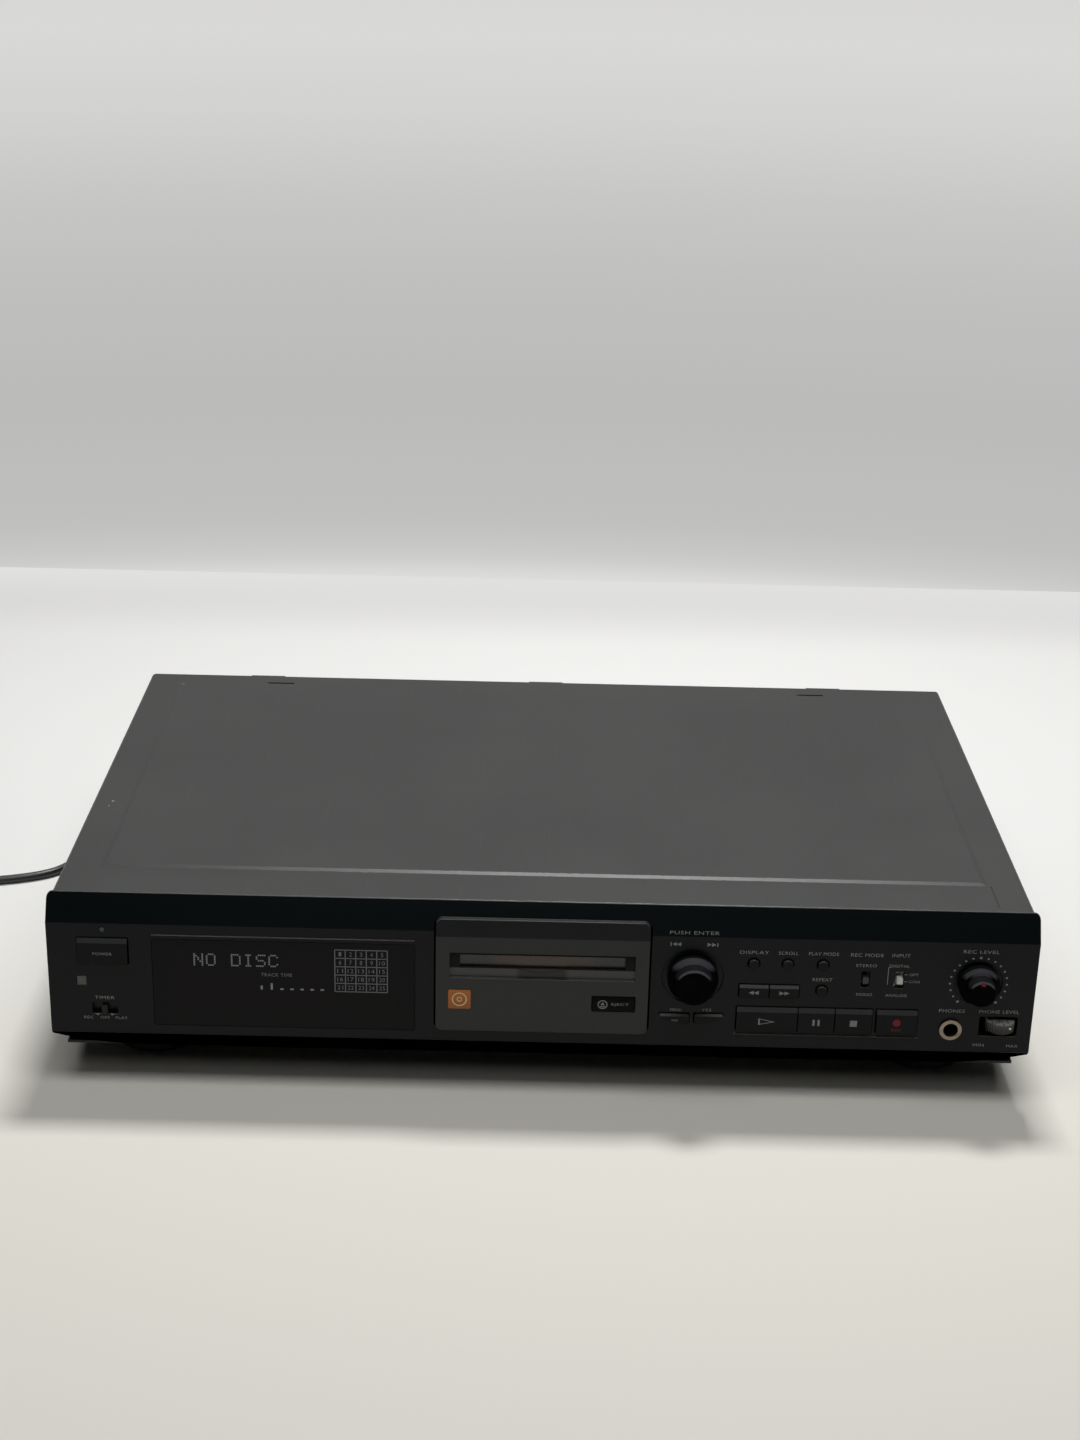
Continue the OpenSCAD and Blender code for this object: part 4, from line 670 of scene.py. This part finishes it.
class DECK_OT_metalwork(bpy.types.Operator):
    """Finishes the cover, chassis, rear panel and screws"""
    bl_idname = "deck.metalwork"
    bl_label = "Metalwork"

    def execute(self, context):
        coat(cover_paint(), "top_cover", "rear_panel")
        coat(zinc_sheet("zinc_sheet", (0.56, 0.57, 0.58)), "mechanism_frame", "disc_holder", "head_arm")
        # the chassis tray's zinc is darkened almost to black: painted shade
        coat(zinc_sheet("dull_zinc", (0.045, 0.045, 0.046)), "chassis_tray")
        coat(plated("black_zinc", (0.05, 0.05, 0.052), rough=0.34), "screws")
        return {"FINISHED"}


class DECK_OT_front(bpy.types.Operator):
    """Finishes the front panel, its window, escutcheon and shutter, and the feet"""
    bl_idname = "deck.front"
    bl_label = "Front and feet"

    def execute(self, context):
        coat(panel_moulding(), "front_panel")
        coat(plate_satin(), "disc_escutcheon")
        coat(shutter_bronze(), "slot_shutter")
        coat(window_smoke(), "display_window")
        coat(moulded("foot_black", (0.010, 0.010, 0.011), rough=0.45, grain=1500.0), "feet")
        coat(pad_felt(), "foot_pads")
        coat(lamp_lens(), "standby_lamp")
        coat(moulded("sensor_grey", (0.06, 0.06, 0.058), rough=0.3), "remote_sensor")
        return {"FINISHED"}


class DECK_OT_controls(bpy.types.Operator):
    """Finishes the keys, knobs, switches and the phones socket"""
    bl_idname = "deck.controls"
    bl_label = "Controls"

    def execute(self, context):
        keys = tuple(context.scene.deck_colours.keys)
        coat(moulded("key_black", keys, rough=0.36, edge=0.35, level=0.12, painted_slope_highlight=(0.062, 0.064, 0.064)), *KEYS)
        coat(moulded("round_key_black", shade(keys, 0.6), rough=0.34, edge=0.4, level=0.14,
                     painted_slope_highlight=(0.045, 0.047, 0.047)), *ROUND_KEYS)
        coat(moulded("eject_black", shade(keys, 0.4), rough=0.4, level=0.07), "eject_button")
        coat(moulded("knob_black", shade(keys, 0.3), rough=0.45, edge=0.4, level=0.015,
                     painted_slope_highlight=(0.055, 0.055, 0.062)), "jog_dial", "rec_level_knob")
        coat(moulded("timer_black", (0.008, 0.008, 0.008), rough=0.35, level=0.2), "timer_switch")
        coat(moulded("switch_dark", (0.02, 0.02, 0.02), rough=0.35), "rec_mode_switch")
        coat(moulded("switch_pale", (0.46, 0.46, 0.44), rough=0.3), "input_switch")
        coat(wheel_finish(), "phone_level_wheel")
        coat(plated("socket_nickel", (0.27, 0.225, 0.18), rough=0.3), "phones_jack")
        coat(plated("shaft_steel", (0.55, 0.55, 0.56), rough=0.22), "jog_shaft", "rec_level_shaft")
        return {"FINISHED"}


class DECK_OT_inside(bpy.types.Operator):
    """Finishes the boards, drive and other pieces inside the case"""
    bl_idname = "deck.inside"
    bl_label = "Inside"

    def execute(self, context):
        coat(board_laminate("board_brown", (0.17, 0.10, 0.04), (0.30, 0.20, 0.10)), "control_board")
        coat(board_laminate("board_green", (0.02, 0.09, 0.03), (0.06, 0.18, 0.06)), "main_board")
        dark = moulded("inside_black", (0.03, 0.03, 0.031), rough=0.4)
        coat(dark, "control_switches", "jog_encoder", "level_controls", "digital_jacks")
        coat(moulded("tube_glass", (0.02, 0.035, 0.035), rough=0.12, level=0.8), "display_tube")
        coat(varnished_core(), "power_transformer")
        coat(plated("jack_nickel", (0.66, 0.65, 0.62), rough=0.2), "line_jacks")
        coat(plated("rod_steel", (0.62, 0.62, 0.63), rough=0.12), "guide_rods", "lead_screw")
        coat(plated("motor_can", (0.45, 0.45, 0.46), rough=0.3), "spindle_motor", "loading_motor")
        coat(moulded("white_acetal", (0.62, 0.60, 0.54), rough=0.38),
             "turntable", "loading_slider", "loading_gear", "motor_pinion")
        coat(plated("pickup_casting", (0.24, 0.24, 0.25), rough=0.42), "optical_pickup")
        return {"FINISHED"}


# ---------- operators: pieces made here ----------

# places and sizes on the face in millimetres: x, rise over the face's lower edge, width, height;
# the words' height is their letters', the thin lines of the bracket are THIN wide
JOG_X = 65.4
LEVEL_X, LEVEL_RISE, DOTS_RADIUS = 189.8, 34, 12.4
EJECT_X = 26.6
TILE_X, TILE_RISE, TILE_THICK = -35.9, 21.4, 0.28
THIN = 0.3
FACE_WORDS = [
    ("TIMER", -191.0, 17.3, 8.6, 1.5), ("REC", -198.4, 7.4, 4.2, 1.35), ("OFF", -191.2, 7.4, 4.2, 1.35),
    ("PLAY", -184.0, 7.4, 5.2, 1.35),
    ("PUSH ENTER", JOG_X, 55.4, 21.5, 1.7), ("MENU", 58.8, 17.6, 4.9, 1.3), ("YES", 72.2, 17.8, 4.2, 1.3),
    ("DISPLAY", 91.6, 46.6, 12.6, 1.6), ("SCROLL", 106.4, 46.6, 8.6, 1.6), ("PLAY MODE", 121.7, 46.6, 13.0, 1.6),
    ("REPEAT", 121.9, 34.0, 8.6, 1.6),
    ("REC MODE", 140.5, 46.5, 14.2, 1.6), ("STEREO", 140.5, 41.4, 9.1, 1.4), ("MONO", 140.5, 27.2, 6.9, 1.4),
    ("INPUT", 155.3, 46.6, 7.9, 1.6), ("DIGITAL", 154.9, 41.5, 8.7, 1.4), ("ANALOG", 154.4, 27.1, 9.4, 1.4),
    ("OPT", 161.5, 37.4, 4.0, 1.25), ("COAX", 161.9, 34.0, 5.0, 1.25),
    ("REC LEVEL", LEVEL_X, 49.3, 15.6, 1.6), ("PHONES", 179.5, 20.1, 11.2, 1.6),
    ("PHONE LEVEL", 200.2, 20.1, 17.6, 1.6), ("MIN", 192.6, 3.4, 4.8, 1.35), ("MAX", 207.4, 3.2, 5.0, 1.35),
]
# bracket that ties the two digital places to their word
INPUT_BRACKET = [(150.2, 36.6, THIN, 8.6), (150.9, 40.8, 1.6, THIN), (158.0, 37.4, 1.3, THIN),
                 (158.0, 34.0, 1.3, THIN), (153.1, 32.4, THIN, 1.5)]
# small pointers to the timer switch's places, each with its turn
TIMER_POINTERS = [(-194.6, 9.0, pi), (-191.2, 9.9, pi / 2), (-187.8, 9.0, 0.0)]
# words on the rear panel, whose rise is over the ground
REAR_WORDS = [("LINE IN", 104, 74, 10, 1.7), ("LINE OUT", 124, 74, 12, 1.7), ("L", 96.4, 64, 1.2, 1.8),
              ("R", 96.4, 46, 1.3, 1.8), ("DIGITAL", 152, 84, 12, 1.7), ("OPTICAL IN", 165, 38, 10, 1.4),
              ("OPTICAL OUT", 166, 55, 11.5, 1.4), ("COAXIAL IN", 165.5, 72, 10.6, 1.4)]


class DECK_OT_lettering(bpy.types.Operator):
    """Prints the words, marks and dots on the face, keys and rear panel"""
    bl_idname = "deck.lettering"
    bl_label = "Lettering"

    def execute(self, context):
        lift = context.scene.deck_print.lift
        white = ink("print_white", tuple(context.scene.deck_print.ink))
        red = ink("print_red", tuple(context.scene.deck_print.red), rough=0.4)
        face = FACE_Y - lift
        words = [word(*place, face) for place in FACE_WORDS]
        # track marks beside the jog dial
        for side in (-1, 1):
            middle = JOG_X + side * 7.6
            turn = pi if side < 0 else 0.0
            words += [arrow_mark(middle - 1.0, 49.8, 1.9, 1.9, face, turn),
                      arrow_mark(middle + 1.0, 49.8, 1.9, 1.9, face, turn),
                      bar_mark(middle + side * 2.5, 49.8, 0.45, 1.9, face)]
        words += [bar_mark(*place, face) for place in INPUT_BRACKET]
        words += [arrow_mark(x, rise, 1.25, 1.25, face, turn) for x, rise, turn in TIMER_POINTERS]
        # dots round the level knob, larger at the ends and the middle
        for k in range(19):
            turn = radians(228 - k * 276 / 18)
            x, rise = LEVEL_X + DOTS_RADIUS * cos(turn), LEVEL_RISE + DOTS_RADIUS * sin(turn)
            words.append(disc_mark(x, rise, 1.25 if k in (0, 9, 18) else 0.95, face, sides=14))
        settled(joined(words), "face_lettering", white)

        # marks that move with their keys
        key = KEY_Y - lift
        eject = PLATE_Y - 0.5 * MM - lift
        marks = {
            "power_button": ("power_word", [word("POWER", -190.8, 39.4, 8.4, 1.3, key)]),
            "eject_button": ("eject_mark", [
                ring_mark(EJECT_X, 20.5, 4.3, eject, 0.2), arrow_mark(EJECT_X, 21.0, 1.9, 1.4, eject, pi / 2),
                bar_mark(EJECT_X, 19.5, 1.9, 0.5, eject), word("EJECT", 34.2, 20.5, 7.6, 1.5, eject)]),
            "menu_button": ("no_word", [word("NO", 58.4, 13.1, 2.6, 1.1, key)]),
            "rewind_button": ("rewind_mark", [
                arrow_mark(92.3 + s, 27.6, 2.2, 1.9, key, pi) for s in (-1.2, 1.0)]),
            "fast_forward_button": ("forward_mark", [
                arrow_mark(105.5 + s, 27.6, 2.2, 1.9, key) for s in (-1.0, 1.2)]),
            "play_button": ("play_mark", [arrow_mark(98.7, 13.4, 7.4, 3.2, key, line=0.14)]),
            "pause_button": ("pause_mark", [bar_mark(120.3 + s, 13.4, 0.95, 3.0, key) for s in (-1.1, 1.1)]),
            "stop_button": ("stop_mark", [bar_mark(136.7, 13.4, 3.1, 3.0, key)]),
            "record_button": ("record_mark", [
                disc_mark(155.6, 14.2, 3.5, key, sides=28), word("REC", 155.6, 10.6, 4.4, 1.3, key)]),
        }
        for node, (name, made) in marks.items():
            settled(joined(made), name, red if node == "record_button" else white, node + "_body")

        # red line on the level knob's front
        knob_front = FACE_Y - 11 * MM + 0.26 * MM
        settled(bar_mark(LEVEL_X, 39.0, 1.9, 1.8, knob_front), "level_pointer", red, "rec_level")

        # pale dot on the thumbwheel's crown
        settled(disc_mark(205.3, 13.0, 1.1, FACE_Y - 2.15 * MM), "wheel_dot",
                ink("dot_white", (0.75, 0.75, 0.73)), "phone_level")

        made = [word(*place, REAR_Y + lift, facing=1, foot=0.0) for place in REAR_WORDS]
        settled(joined(made), "rear_lettering", white)
        return {"FINISHED"}


# the readout's letters, row by row in dots
DOTS = {
    "N": "10001 11001 10101 10101 10011 10001 10001",
    "O": "01110 10001 10001 10001 10001 10001 01110",
    "D": "11110 10001 10001 10001 10001 10001 11110",
    "I": "01110 00100 00100 00100 00100 00100 01110",
    "S": "01111 10000 10000 01110 00001 00001 11110",
    "C": "01110 10001 10000 10000 10000 10001 01110",
}


class DECK_OT_readout(bpy.types.Operator):
    """Lights the readout behind the window: words in dots, level marks and the track grid"""
    bl_idname = "deck.readout"
    bl_label = "Readout"

    def execute(self, context):
        y = WINDOW_LOW[1] - context.scene.deck_print.lift
        lit = []
        first, top, letter_step, pitch, dot = -151.2, 39.7, 5.42, 0.875, 0.66
        for place, letter in enumerate("NO DISC"):
            left = first + place * letter_step
            for row, line in enumerate(DOTS.get(letter, "").split()):
                lit += [bar_mark(left + column * pitch, top - row * pitch, dot, dot, y)
                        for column, on in enumerate(line) if on == "1"]
        for k, tall in enumerate((1.9, 3.2, 0.8, 0.8, 0.8, 0.8, 0.8)):
            lit.append(bar_mark(-122.2 + k * 4.4, 23.0 + tall / 2, 0.9 if k < 2 else 1.5, tall, y))
        settled(joined(lit), "readout_words", readout_glow("readout_bright", 1.0))

        # a grid of 25 numbered tracks
        faint = [word("TRACK TIME", -115.6, 30.3, 13.6, 1.7, y)]
        low_x, high_x, low_z, high_z = -90.2, -67.4, 22.8, 43.2
        wide, tall, line = high_x - low_x, high_z - low_z, 0.42
        for k in range(6):
            faint += [bar_mark(low_x + wide * k / 5, (low_z + high_z) / 2, line, tall, y),
                      bar_mark((low_x + high_x) / 2, low_z + tall * k / 5, wide, line, y)]
        for k in range(25):
            x = low_x + wide * (k % 5 + 0.5) / 5
            z = high_z - tall * (k // 5 + 0.5) / 5
            faint.append(word(str(k + 1), x, z, 1.1 if k < 9 else 2.5, 2.0, y))
        settled(joined(faint), "readout_grid", readout_glow("readout_faint", 0.52))
        return {"FINISHED"}


class DECK_OT_tile(bpy.types.Operator):
    """Fits the small amber tile on the escutcheon"""
    bl_idname = "deck.tile"
    bl_label = "Amber tile"

    def execute(self, context):
        front = PLATE_Y - TILE_THICK * MM
        tile = bar_mark(TILE_X, TILE_RISE, 9.8, 9.2, front)
        rounded = tile.modifiers.new("corners", "BEVEL")
        rounded.affect = "VERTICES"
        rounded.width = 0.7 * MM
        rounded.segments = 4
        bpy.ops.object.modifier_apply(modifier="corners")
        thick = tile.modifiers.new("thickness", "SOLIDIFY")
        thick.thickness = TILE_THICK * MM
        thick.offset = -1.0
        bpy.ops.object.modifier_apply(modifier="thickness")
        settled(tile, "amber_tile", amber_tile_finish())
        disc = [ring_mark(TILE_X, TILE_RISE, width, front - context.scene.deck_print.lift, line)
                for width, line in ((6.6, 0.16), (2.4, 0.35))]
        settled(joined(disc), "tile_ring", ink("tile_pale", (0.62, 0.50, 0.30)))
        return {"FINISHED"}


# ---------- mains cord ----------

# the route of the free stretch, the same points as the solid's, in millimetres
CORD_ROUTE = [
    (-170, 155.75, 32), (-170, 164.75, 32), (-171, 176, 28), (-174, 186, 21), (-180, 195, 14), (-189, 201, 8),
    (-200, 202, 4), (-211, 198, 2.5), (-220, 190, 2.4), (-226, 179, 2.3), (-230, 167, 2.3), (-233, 155, 2.3),
    (-236, 143, 2.3), (-239, 131, 2.3), (-242, 119, 2.3), (-246, 106, 2.3), (-250, 94, 2.3), (-254, 85.5, 2.3),
    (-259, 79, 2.3), (-266, 74.2, 2.3), (-276, 70, 2.3), (-288, 66.5, 2.3), (-299, 63.5, 2.3), (-311, 61, 2.3),
    (-320.5, 59.7, 2.3), (-325.5, 59.7, 2.3)]
# the coil's middle, its lower layer's height, the straight run to the plug and the gap between turns
COIL_MIDDLE = (-330.0, 24.5)
COIL_LOW, COIL_RUN, COIL_GAP = 2.3, 24.0, 0.45
# the furthest back that the cord's middle reaches
CORD_BACK = 201.7


def smooth_route(points, parts=4):
    """Points along a smooth curve through the given ones."""
    out = []
    last = len(points) - 1
    for i in range(last):
        a, b, c, d = (Vector(points[min(max(k, 0), last)]) for k in (i - 1, i, i + 1, i + 2))
        for k in range(parts):
            t = k / parts
            out.append(0.5 * ((2 * b) + (c - a) * t + (2 * a - 5 * b + 4 * c - d) * t * t
                              + (3 * b - a - 3 * c + d) * t ** 3))
    out.append(Vector(points[-1]))
    return [Vector((p.x, min(p.y, CORD_BACK), p.z)) for p in out]


def coil_route(turns, outer, pitch, steps=36):
    """In along one layer, up a layer where it turns back, out along the next, and straight to the plug."""
    inner = outer - turns * pitch
    half = turns * 360
    whole = 2 * half + 180
    out = []
    for k in range(round(whole * steps / 360) + 1):
        a = min(k * 360 / steps, whole)
        if a < half:
            radius, rise = outer - pitch * a / 360, 0.0
        elif a < half + 180:
            turned = radians(a - half)
            radius, rise = inner - pitch / 2 / pi * sin(turned), (1 - cos(turned)) / 2
        else:
            radius, rise = inner + pitch * (a - half - 180) / 360, 1.0
        out.append(Vector((COIL_MIDDLE[0] + radius * cos(radians(a + 90)),
                           COIL_MIDDLE[1] + radius * sin(radians(a + 90)), COIL_LOW + pitch * rise)))
    end = out[-1]
    out += [end + Vector((0, -COIL_RUN * k / 4, 0)) for k in range(1, 5)]
    return out


class DECK_OT_cord(bpy.types.Operator):
    """Makes the mains cord with its stored coil, and finishes its plug and strain relief"""
    bl_idname = "deck.cord"
    bl_label = "Mains cord"

    def execute(self, context):
        cord = context.scene.deck_cord
        pitch = cord.diameter / MM + COIL_GAP
        route = smooth_route(CORD_ROUTE)[:-1] + coil_route(cord.turns, cord.outer / MM, pitch)
        points = [p * MM for p in route]
        curve = bpy.data.curves.new("mains_cord", "CURVE")
        curve.dimensions = "3D"
        spline = curve.splines.new("POLY")
        spline.points.add(len(points) - 1)
        for slot, point in zip(spline.points, points):
            slot.co = (*point, 1.0)
        curve.bevel_depth = cord.diameter / 2
        curve.bevel_resolution = 3
        curve.use_fill_caps = True
        obj = bpy.data.objects.new("mains_cord", curve)
        context.scene.collection.objects.link(obj)
        vinyl = cord_vinyl()
        curve.materials.append(vinyl)
        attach(obj, "deck")
        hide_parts("power_cord", "cord_coil")
        coat(vinyl, "strain_relief", "power_plug")
        length = sum((b - a).length for a, b in zip(points, points[1:]))
        return {"FINISHED"}


# ---------- stage ----------

# how far back the floor reaches, where the backdrop takes over, then its middle and width, in metres
FLOOR_END, FLOOR_MIDDLE, FLOOR_WIDTH = 0.60, -1.2, 7.0
# the backdrop's grey, by the sine of the height at which it is looked at
BACKDROP = [(-0.320, 0.78), (-0.3125, 0.72), (-0.303, 0.590), (-0.288, 0.525), (-0.237, 0.497),
            (-0.187, 0.527), (-0.153, 0.571), (-0.120, 0.645), (-0.087, 0.692), (0.10, 0.58), (0.33, 0.11),
            (0.46, 0.98), (1.0, 0.60)]
# lamps: place, tilt in degrees and size in metres
LAMPS = {"overhead": ((0.0, -0.62, 1.5), 16, (1.4, 0.55)),
         "front": ((0.0, -0.95, 1.0), 37, (0.5, 0.3)),
         "behind": ((0.1, 0.42, 1.5), -16, (0.35, 0.25))}
# camera: place in millimetres, then how far it looks down, to the side and leans, in degrees
CAMERA_PLACE = (-7.315, -1005.18, 529.37)
CAMERA_TURN = (21.811, -0.236, 1.409)


def straight_ray(tree):
    """Whether the camera looks at a surface or the backdrop directly."""
    return Level(tree, tree.nodes.new("ShaderNodeLightPath").outputs["Is Camera Ray"])


def sees(tree):
    """Whether a ray shows a surface or the backdrop as it is: straight, mirrored or through glass."""
    rays = tree.nodes.new("ShaderNodeLightPath")
    straight, mirrored, through = (Level(tree, rays.outputs[key]) for key in
                                   ("Is Camera Ray", "Is Glossy Ray", "Is Transmission Ray"))
    return straight.most(mirrored).most(through)


class Sky(Finish):
    """A world under construction."""

    def __init__(self, world):
        world.use_nodes = True
        self.tree = world.node_tree
        self.tree.nodes.clear()

    def background(self, colour, strength):
        return self.node("ShaderNodeBackground", values={"Color": colour, "Strength": strength})


def backdrop_world(room):
    """A pale backdrop; only mirrored, the room in front of the deck is dark. Its own light is weak."""
    world = bpy.data.worlds.new("studio")
    mat = Sky(world)
    where = mat.node("ShaderNodeTexCoord", output=0)
    y, z = mat.part(where, 1), mat.part(where, 2)
    low, high = BACKDROP[0][0], BACKDROP[-1][0]
    greys = [((sine - low) / (high - low), (grey, grey * 0.995, grey * 0.985)) for sine, grey in BACKDROP]
    tone = mat.node("ShaderNodeValToRGB", settings={"stops": greys}, values={"Fac": (z - low) / (high - low)})
    around = mat.blend(straight_ray(mat.tree), (0.03, 0.03, 0.031), ROOM_GREY)
    tone = mat.blend(y.step(-0.1, 0.5), around, tone)
    shown = mat.background(tone, 1.0)
    light = mat.background((0.80, 0.82, 0.86), room)
    mix = mat.node("ShaderNodeMixShader", values={0: sees(mat.tree), 1: light, 2: shown})
    out = mat.tree.nodes.new("ShaderNodeOutputWorld")
    mat.tree.links.new(mix.socket, out.inputs["Surface"])
    return world


def floor_finish(colour):
    """Plain pale floor that keeps the deck's shadow and fades into the backdrop at its far edge."""
    mat = Finish("floor_paper")
    cloud = mat.noise(2.0, detail=3.0)
    fibre = mat.noise(500)
    tone = mat.blend(cloud, shade(colour, 0.97), colour)
    y = mat.axis(1)
    # painted shade: the floor grows darker towards the front
    tone = mat.blend(y.step(-0.80, 0.45), shade(colour, 0.62), tone)
    # warmer close to the deck's front
    warm = mat.node("ShaderNodeVectorMath", settings={"operation": "MULTIPLY"},
                    values={0: tone, 1: (1.0, 0.982, 0.91)})
    tone = mat.blend(y.step(-0.75, -0.25) * (1 - y.step(-0.15, 0.1)), tone, warm)
    mat.give(tone, 0.75 + fibre * 0.1, level=0.25)
    far = y.step(FLOOR_END - 0.15, FLOOR_END)
    x = mat.axis(0)
    # far to the sides and the front, only the camera sees it as bright as the room
    aside = x.most(x * -1).step(1.0, 2.4).most((y * -1).step(1.0, 2.2)) * straight_ray(mat.tree)
    grey = mat.blend(far, ROOM_GREY, (0.75, 0.746, 0.735))
    glow = mat.node("ShaderNodeEmission", values={"Color": grey, "Strength": 1.0})
    return mat.over((far * sees(mat.tree)).most(aside), glow)


class DECK_OT_stage(bpy.types.Operator):
    """Sets the floor, backdrop, lamps, world and camera"""
    bl_idname = "deck.stage"
    bl_label = "Stage"

    def execute(self, context):
        scene = context.scene
        stage = scene.deck_stage
        nothing_selected()
        bpy.ops.mesh.primitive_plane_add(size=1, location=(0, FLOOR_MIDDLE, 0))
        floor = bpy.context.object
        floor.scale = (FLOOR_WIDTH, 2 * (FLOOR_END - FLOOR_MIDDLE), 1.0)
        bpy.ops.object.transform_apply()
        floor.name = "floor"
        floor.data.materials.append(floor_finish(tuple(stage.floor)))

        for name, (place, tilt, size) in LAMPS.items():
            bpy.ops.object.light_add(type="AREA", location=place, rotation=(radians(tilt), 0, 0))
            lamp = bpy.context.object
            lamp.name = name
            lamp.data.shape = "RECTANGLE"
            lamp.data.size, lamp.data.size_y = size
            lamp.data.energy = getattr(stage, name)

        scene.world = backdrop_world(stage.room)

        elevation, yaw, roll = (radians(turn) for turn in CAMERA_TURN)
        back = Vector((sin(yaw) * cos(elevation), -cos(yaw) * cos(elevation), sin(elevation)))
        level = (-back).cross(Vector((0, 0, 1))).normalized()
        above = level.cross(-back)
        across = level * cos(roll) + above * sin(roll)
        upright = above * cos(roll) - level * sin(roll)
        place = Vector(CAMERA_PLACE) * MM
        bpy.ops.object.camera_add(location=place)
        camera = bpy.context.object
        camera.name = "camera"
        camera.matrix_world = Matrix.Translation(place) @ Matrix((across, upright, back)).transposed().to_4x4()
        camera.data.sensor_fit = "VERTICAL"
        camera.data.sensor_height = 36.0
        camera.data.lens = stage.lens
        camera.data.clip_start = 0.01
        camera.data.clip_end = 20.0
        scene.camera = camera
        scene.view_settings.view_transform = "Standard"
        return {"FINISHED"}


class DECK_PT_sidebar(bpy.types.Panel):
    """Steps that dress the deck"""
    bl_label = "Minidisc deck"
    bl_idname = "DECK_PT_sidebar"
    bl_space_type = "VIEW_3D"
    bl_region_type = "UI"
    bl_category = "Deck"

    def draw(self, context):
        for name in GROUPS:
            group = getattr(context.scene, name)
            box = self.layout.box()
            for key in group.__annotations__:
                box.prop(group, key)
        for step in STEPS:
            self.layout.operator(step.bl_idname)


GROUPS = {"deck_print": DeckPrint, "deck_colours": DeckColours, "deck_cord": DeckCord, "deck_stage": DeckStage}
STEPS = (DECK_OT_stage, DECK_OT_cord, DECK_OT_metalwork, DECK_OT_front, DECK_OT_controls, DECK_OT_inside,
         DECK_OT_lettering, DECK_OT_readout, DECK_OT_tile)


def register():
    for name, group in GROUPS.items():
        bpy.utils.register_class(group)
        setattr(bpy.types.Scene, name, bpy.props.PointerProperty(type=group))
    for step in (*STEPS, DECK_PT_sidebar):
        bpy.utils.register_class(step)


def unregister():
    for step in (DECK_PT_sidebar, *reversed(STEPS)):
        bpy.utils.unregister_class(step)
    for name, group in GROUPS.items():
        delattr(bpy.types.Scene, name)
        bpy.utils.unregister_class(group)


def main():
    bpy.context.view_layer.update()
    register()
    bpy.ops.deck.stage()
    bpy.ops.deck.cord()
    bpy.ops.deck.metalwork()
    bpy.ops.deck.front()
    bpy.ops.deck.controls()
    bpy.ops.deck.inside()
    bpy.ops.deck.lettering()
    bpy.ops.deck.readout()
    bpy.ops.deck.tile()


if __name__ == "__main__":
    main()
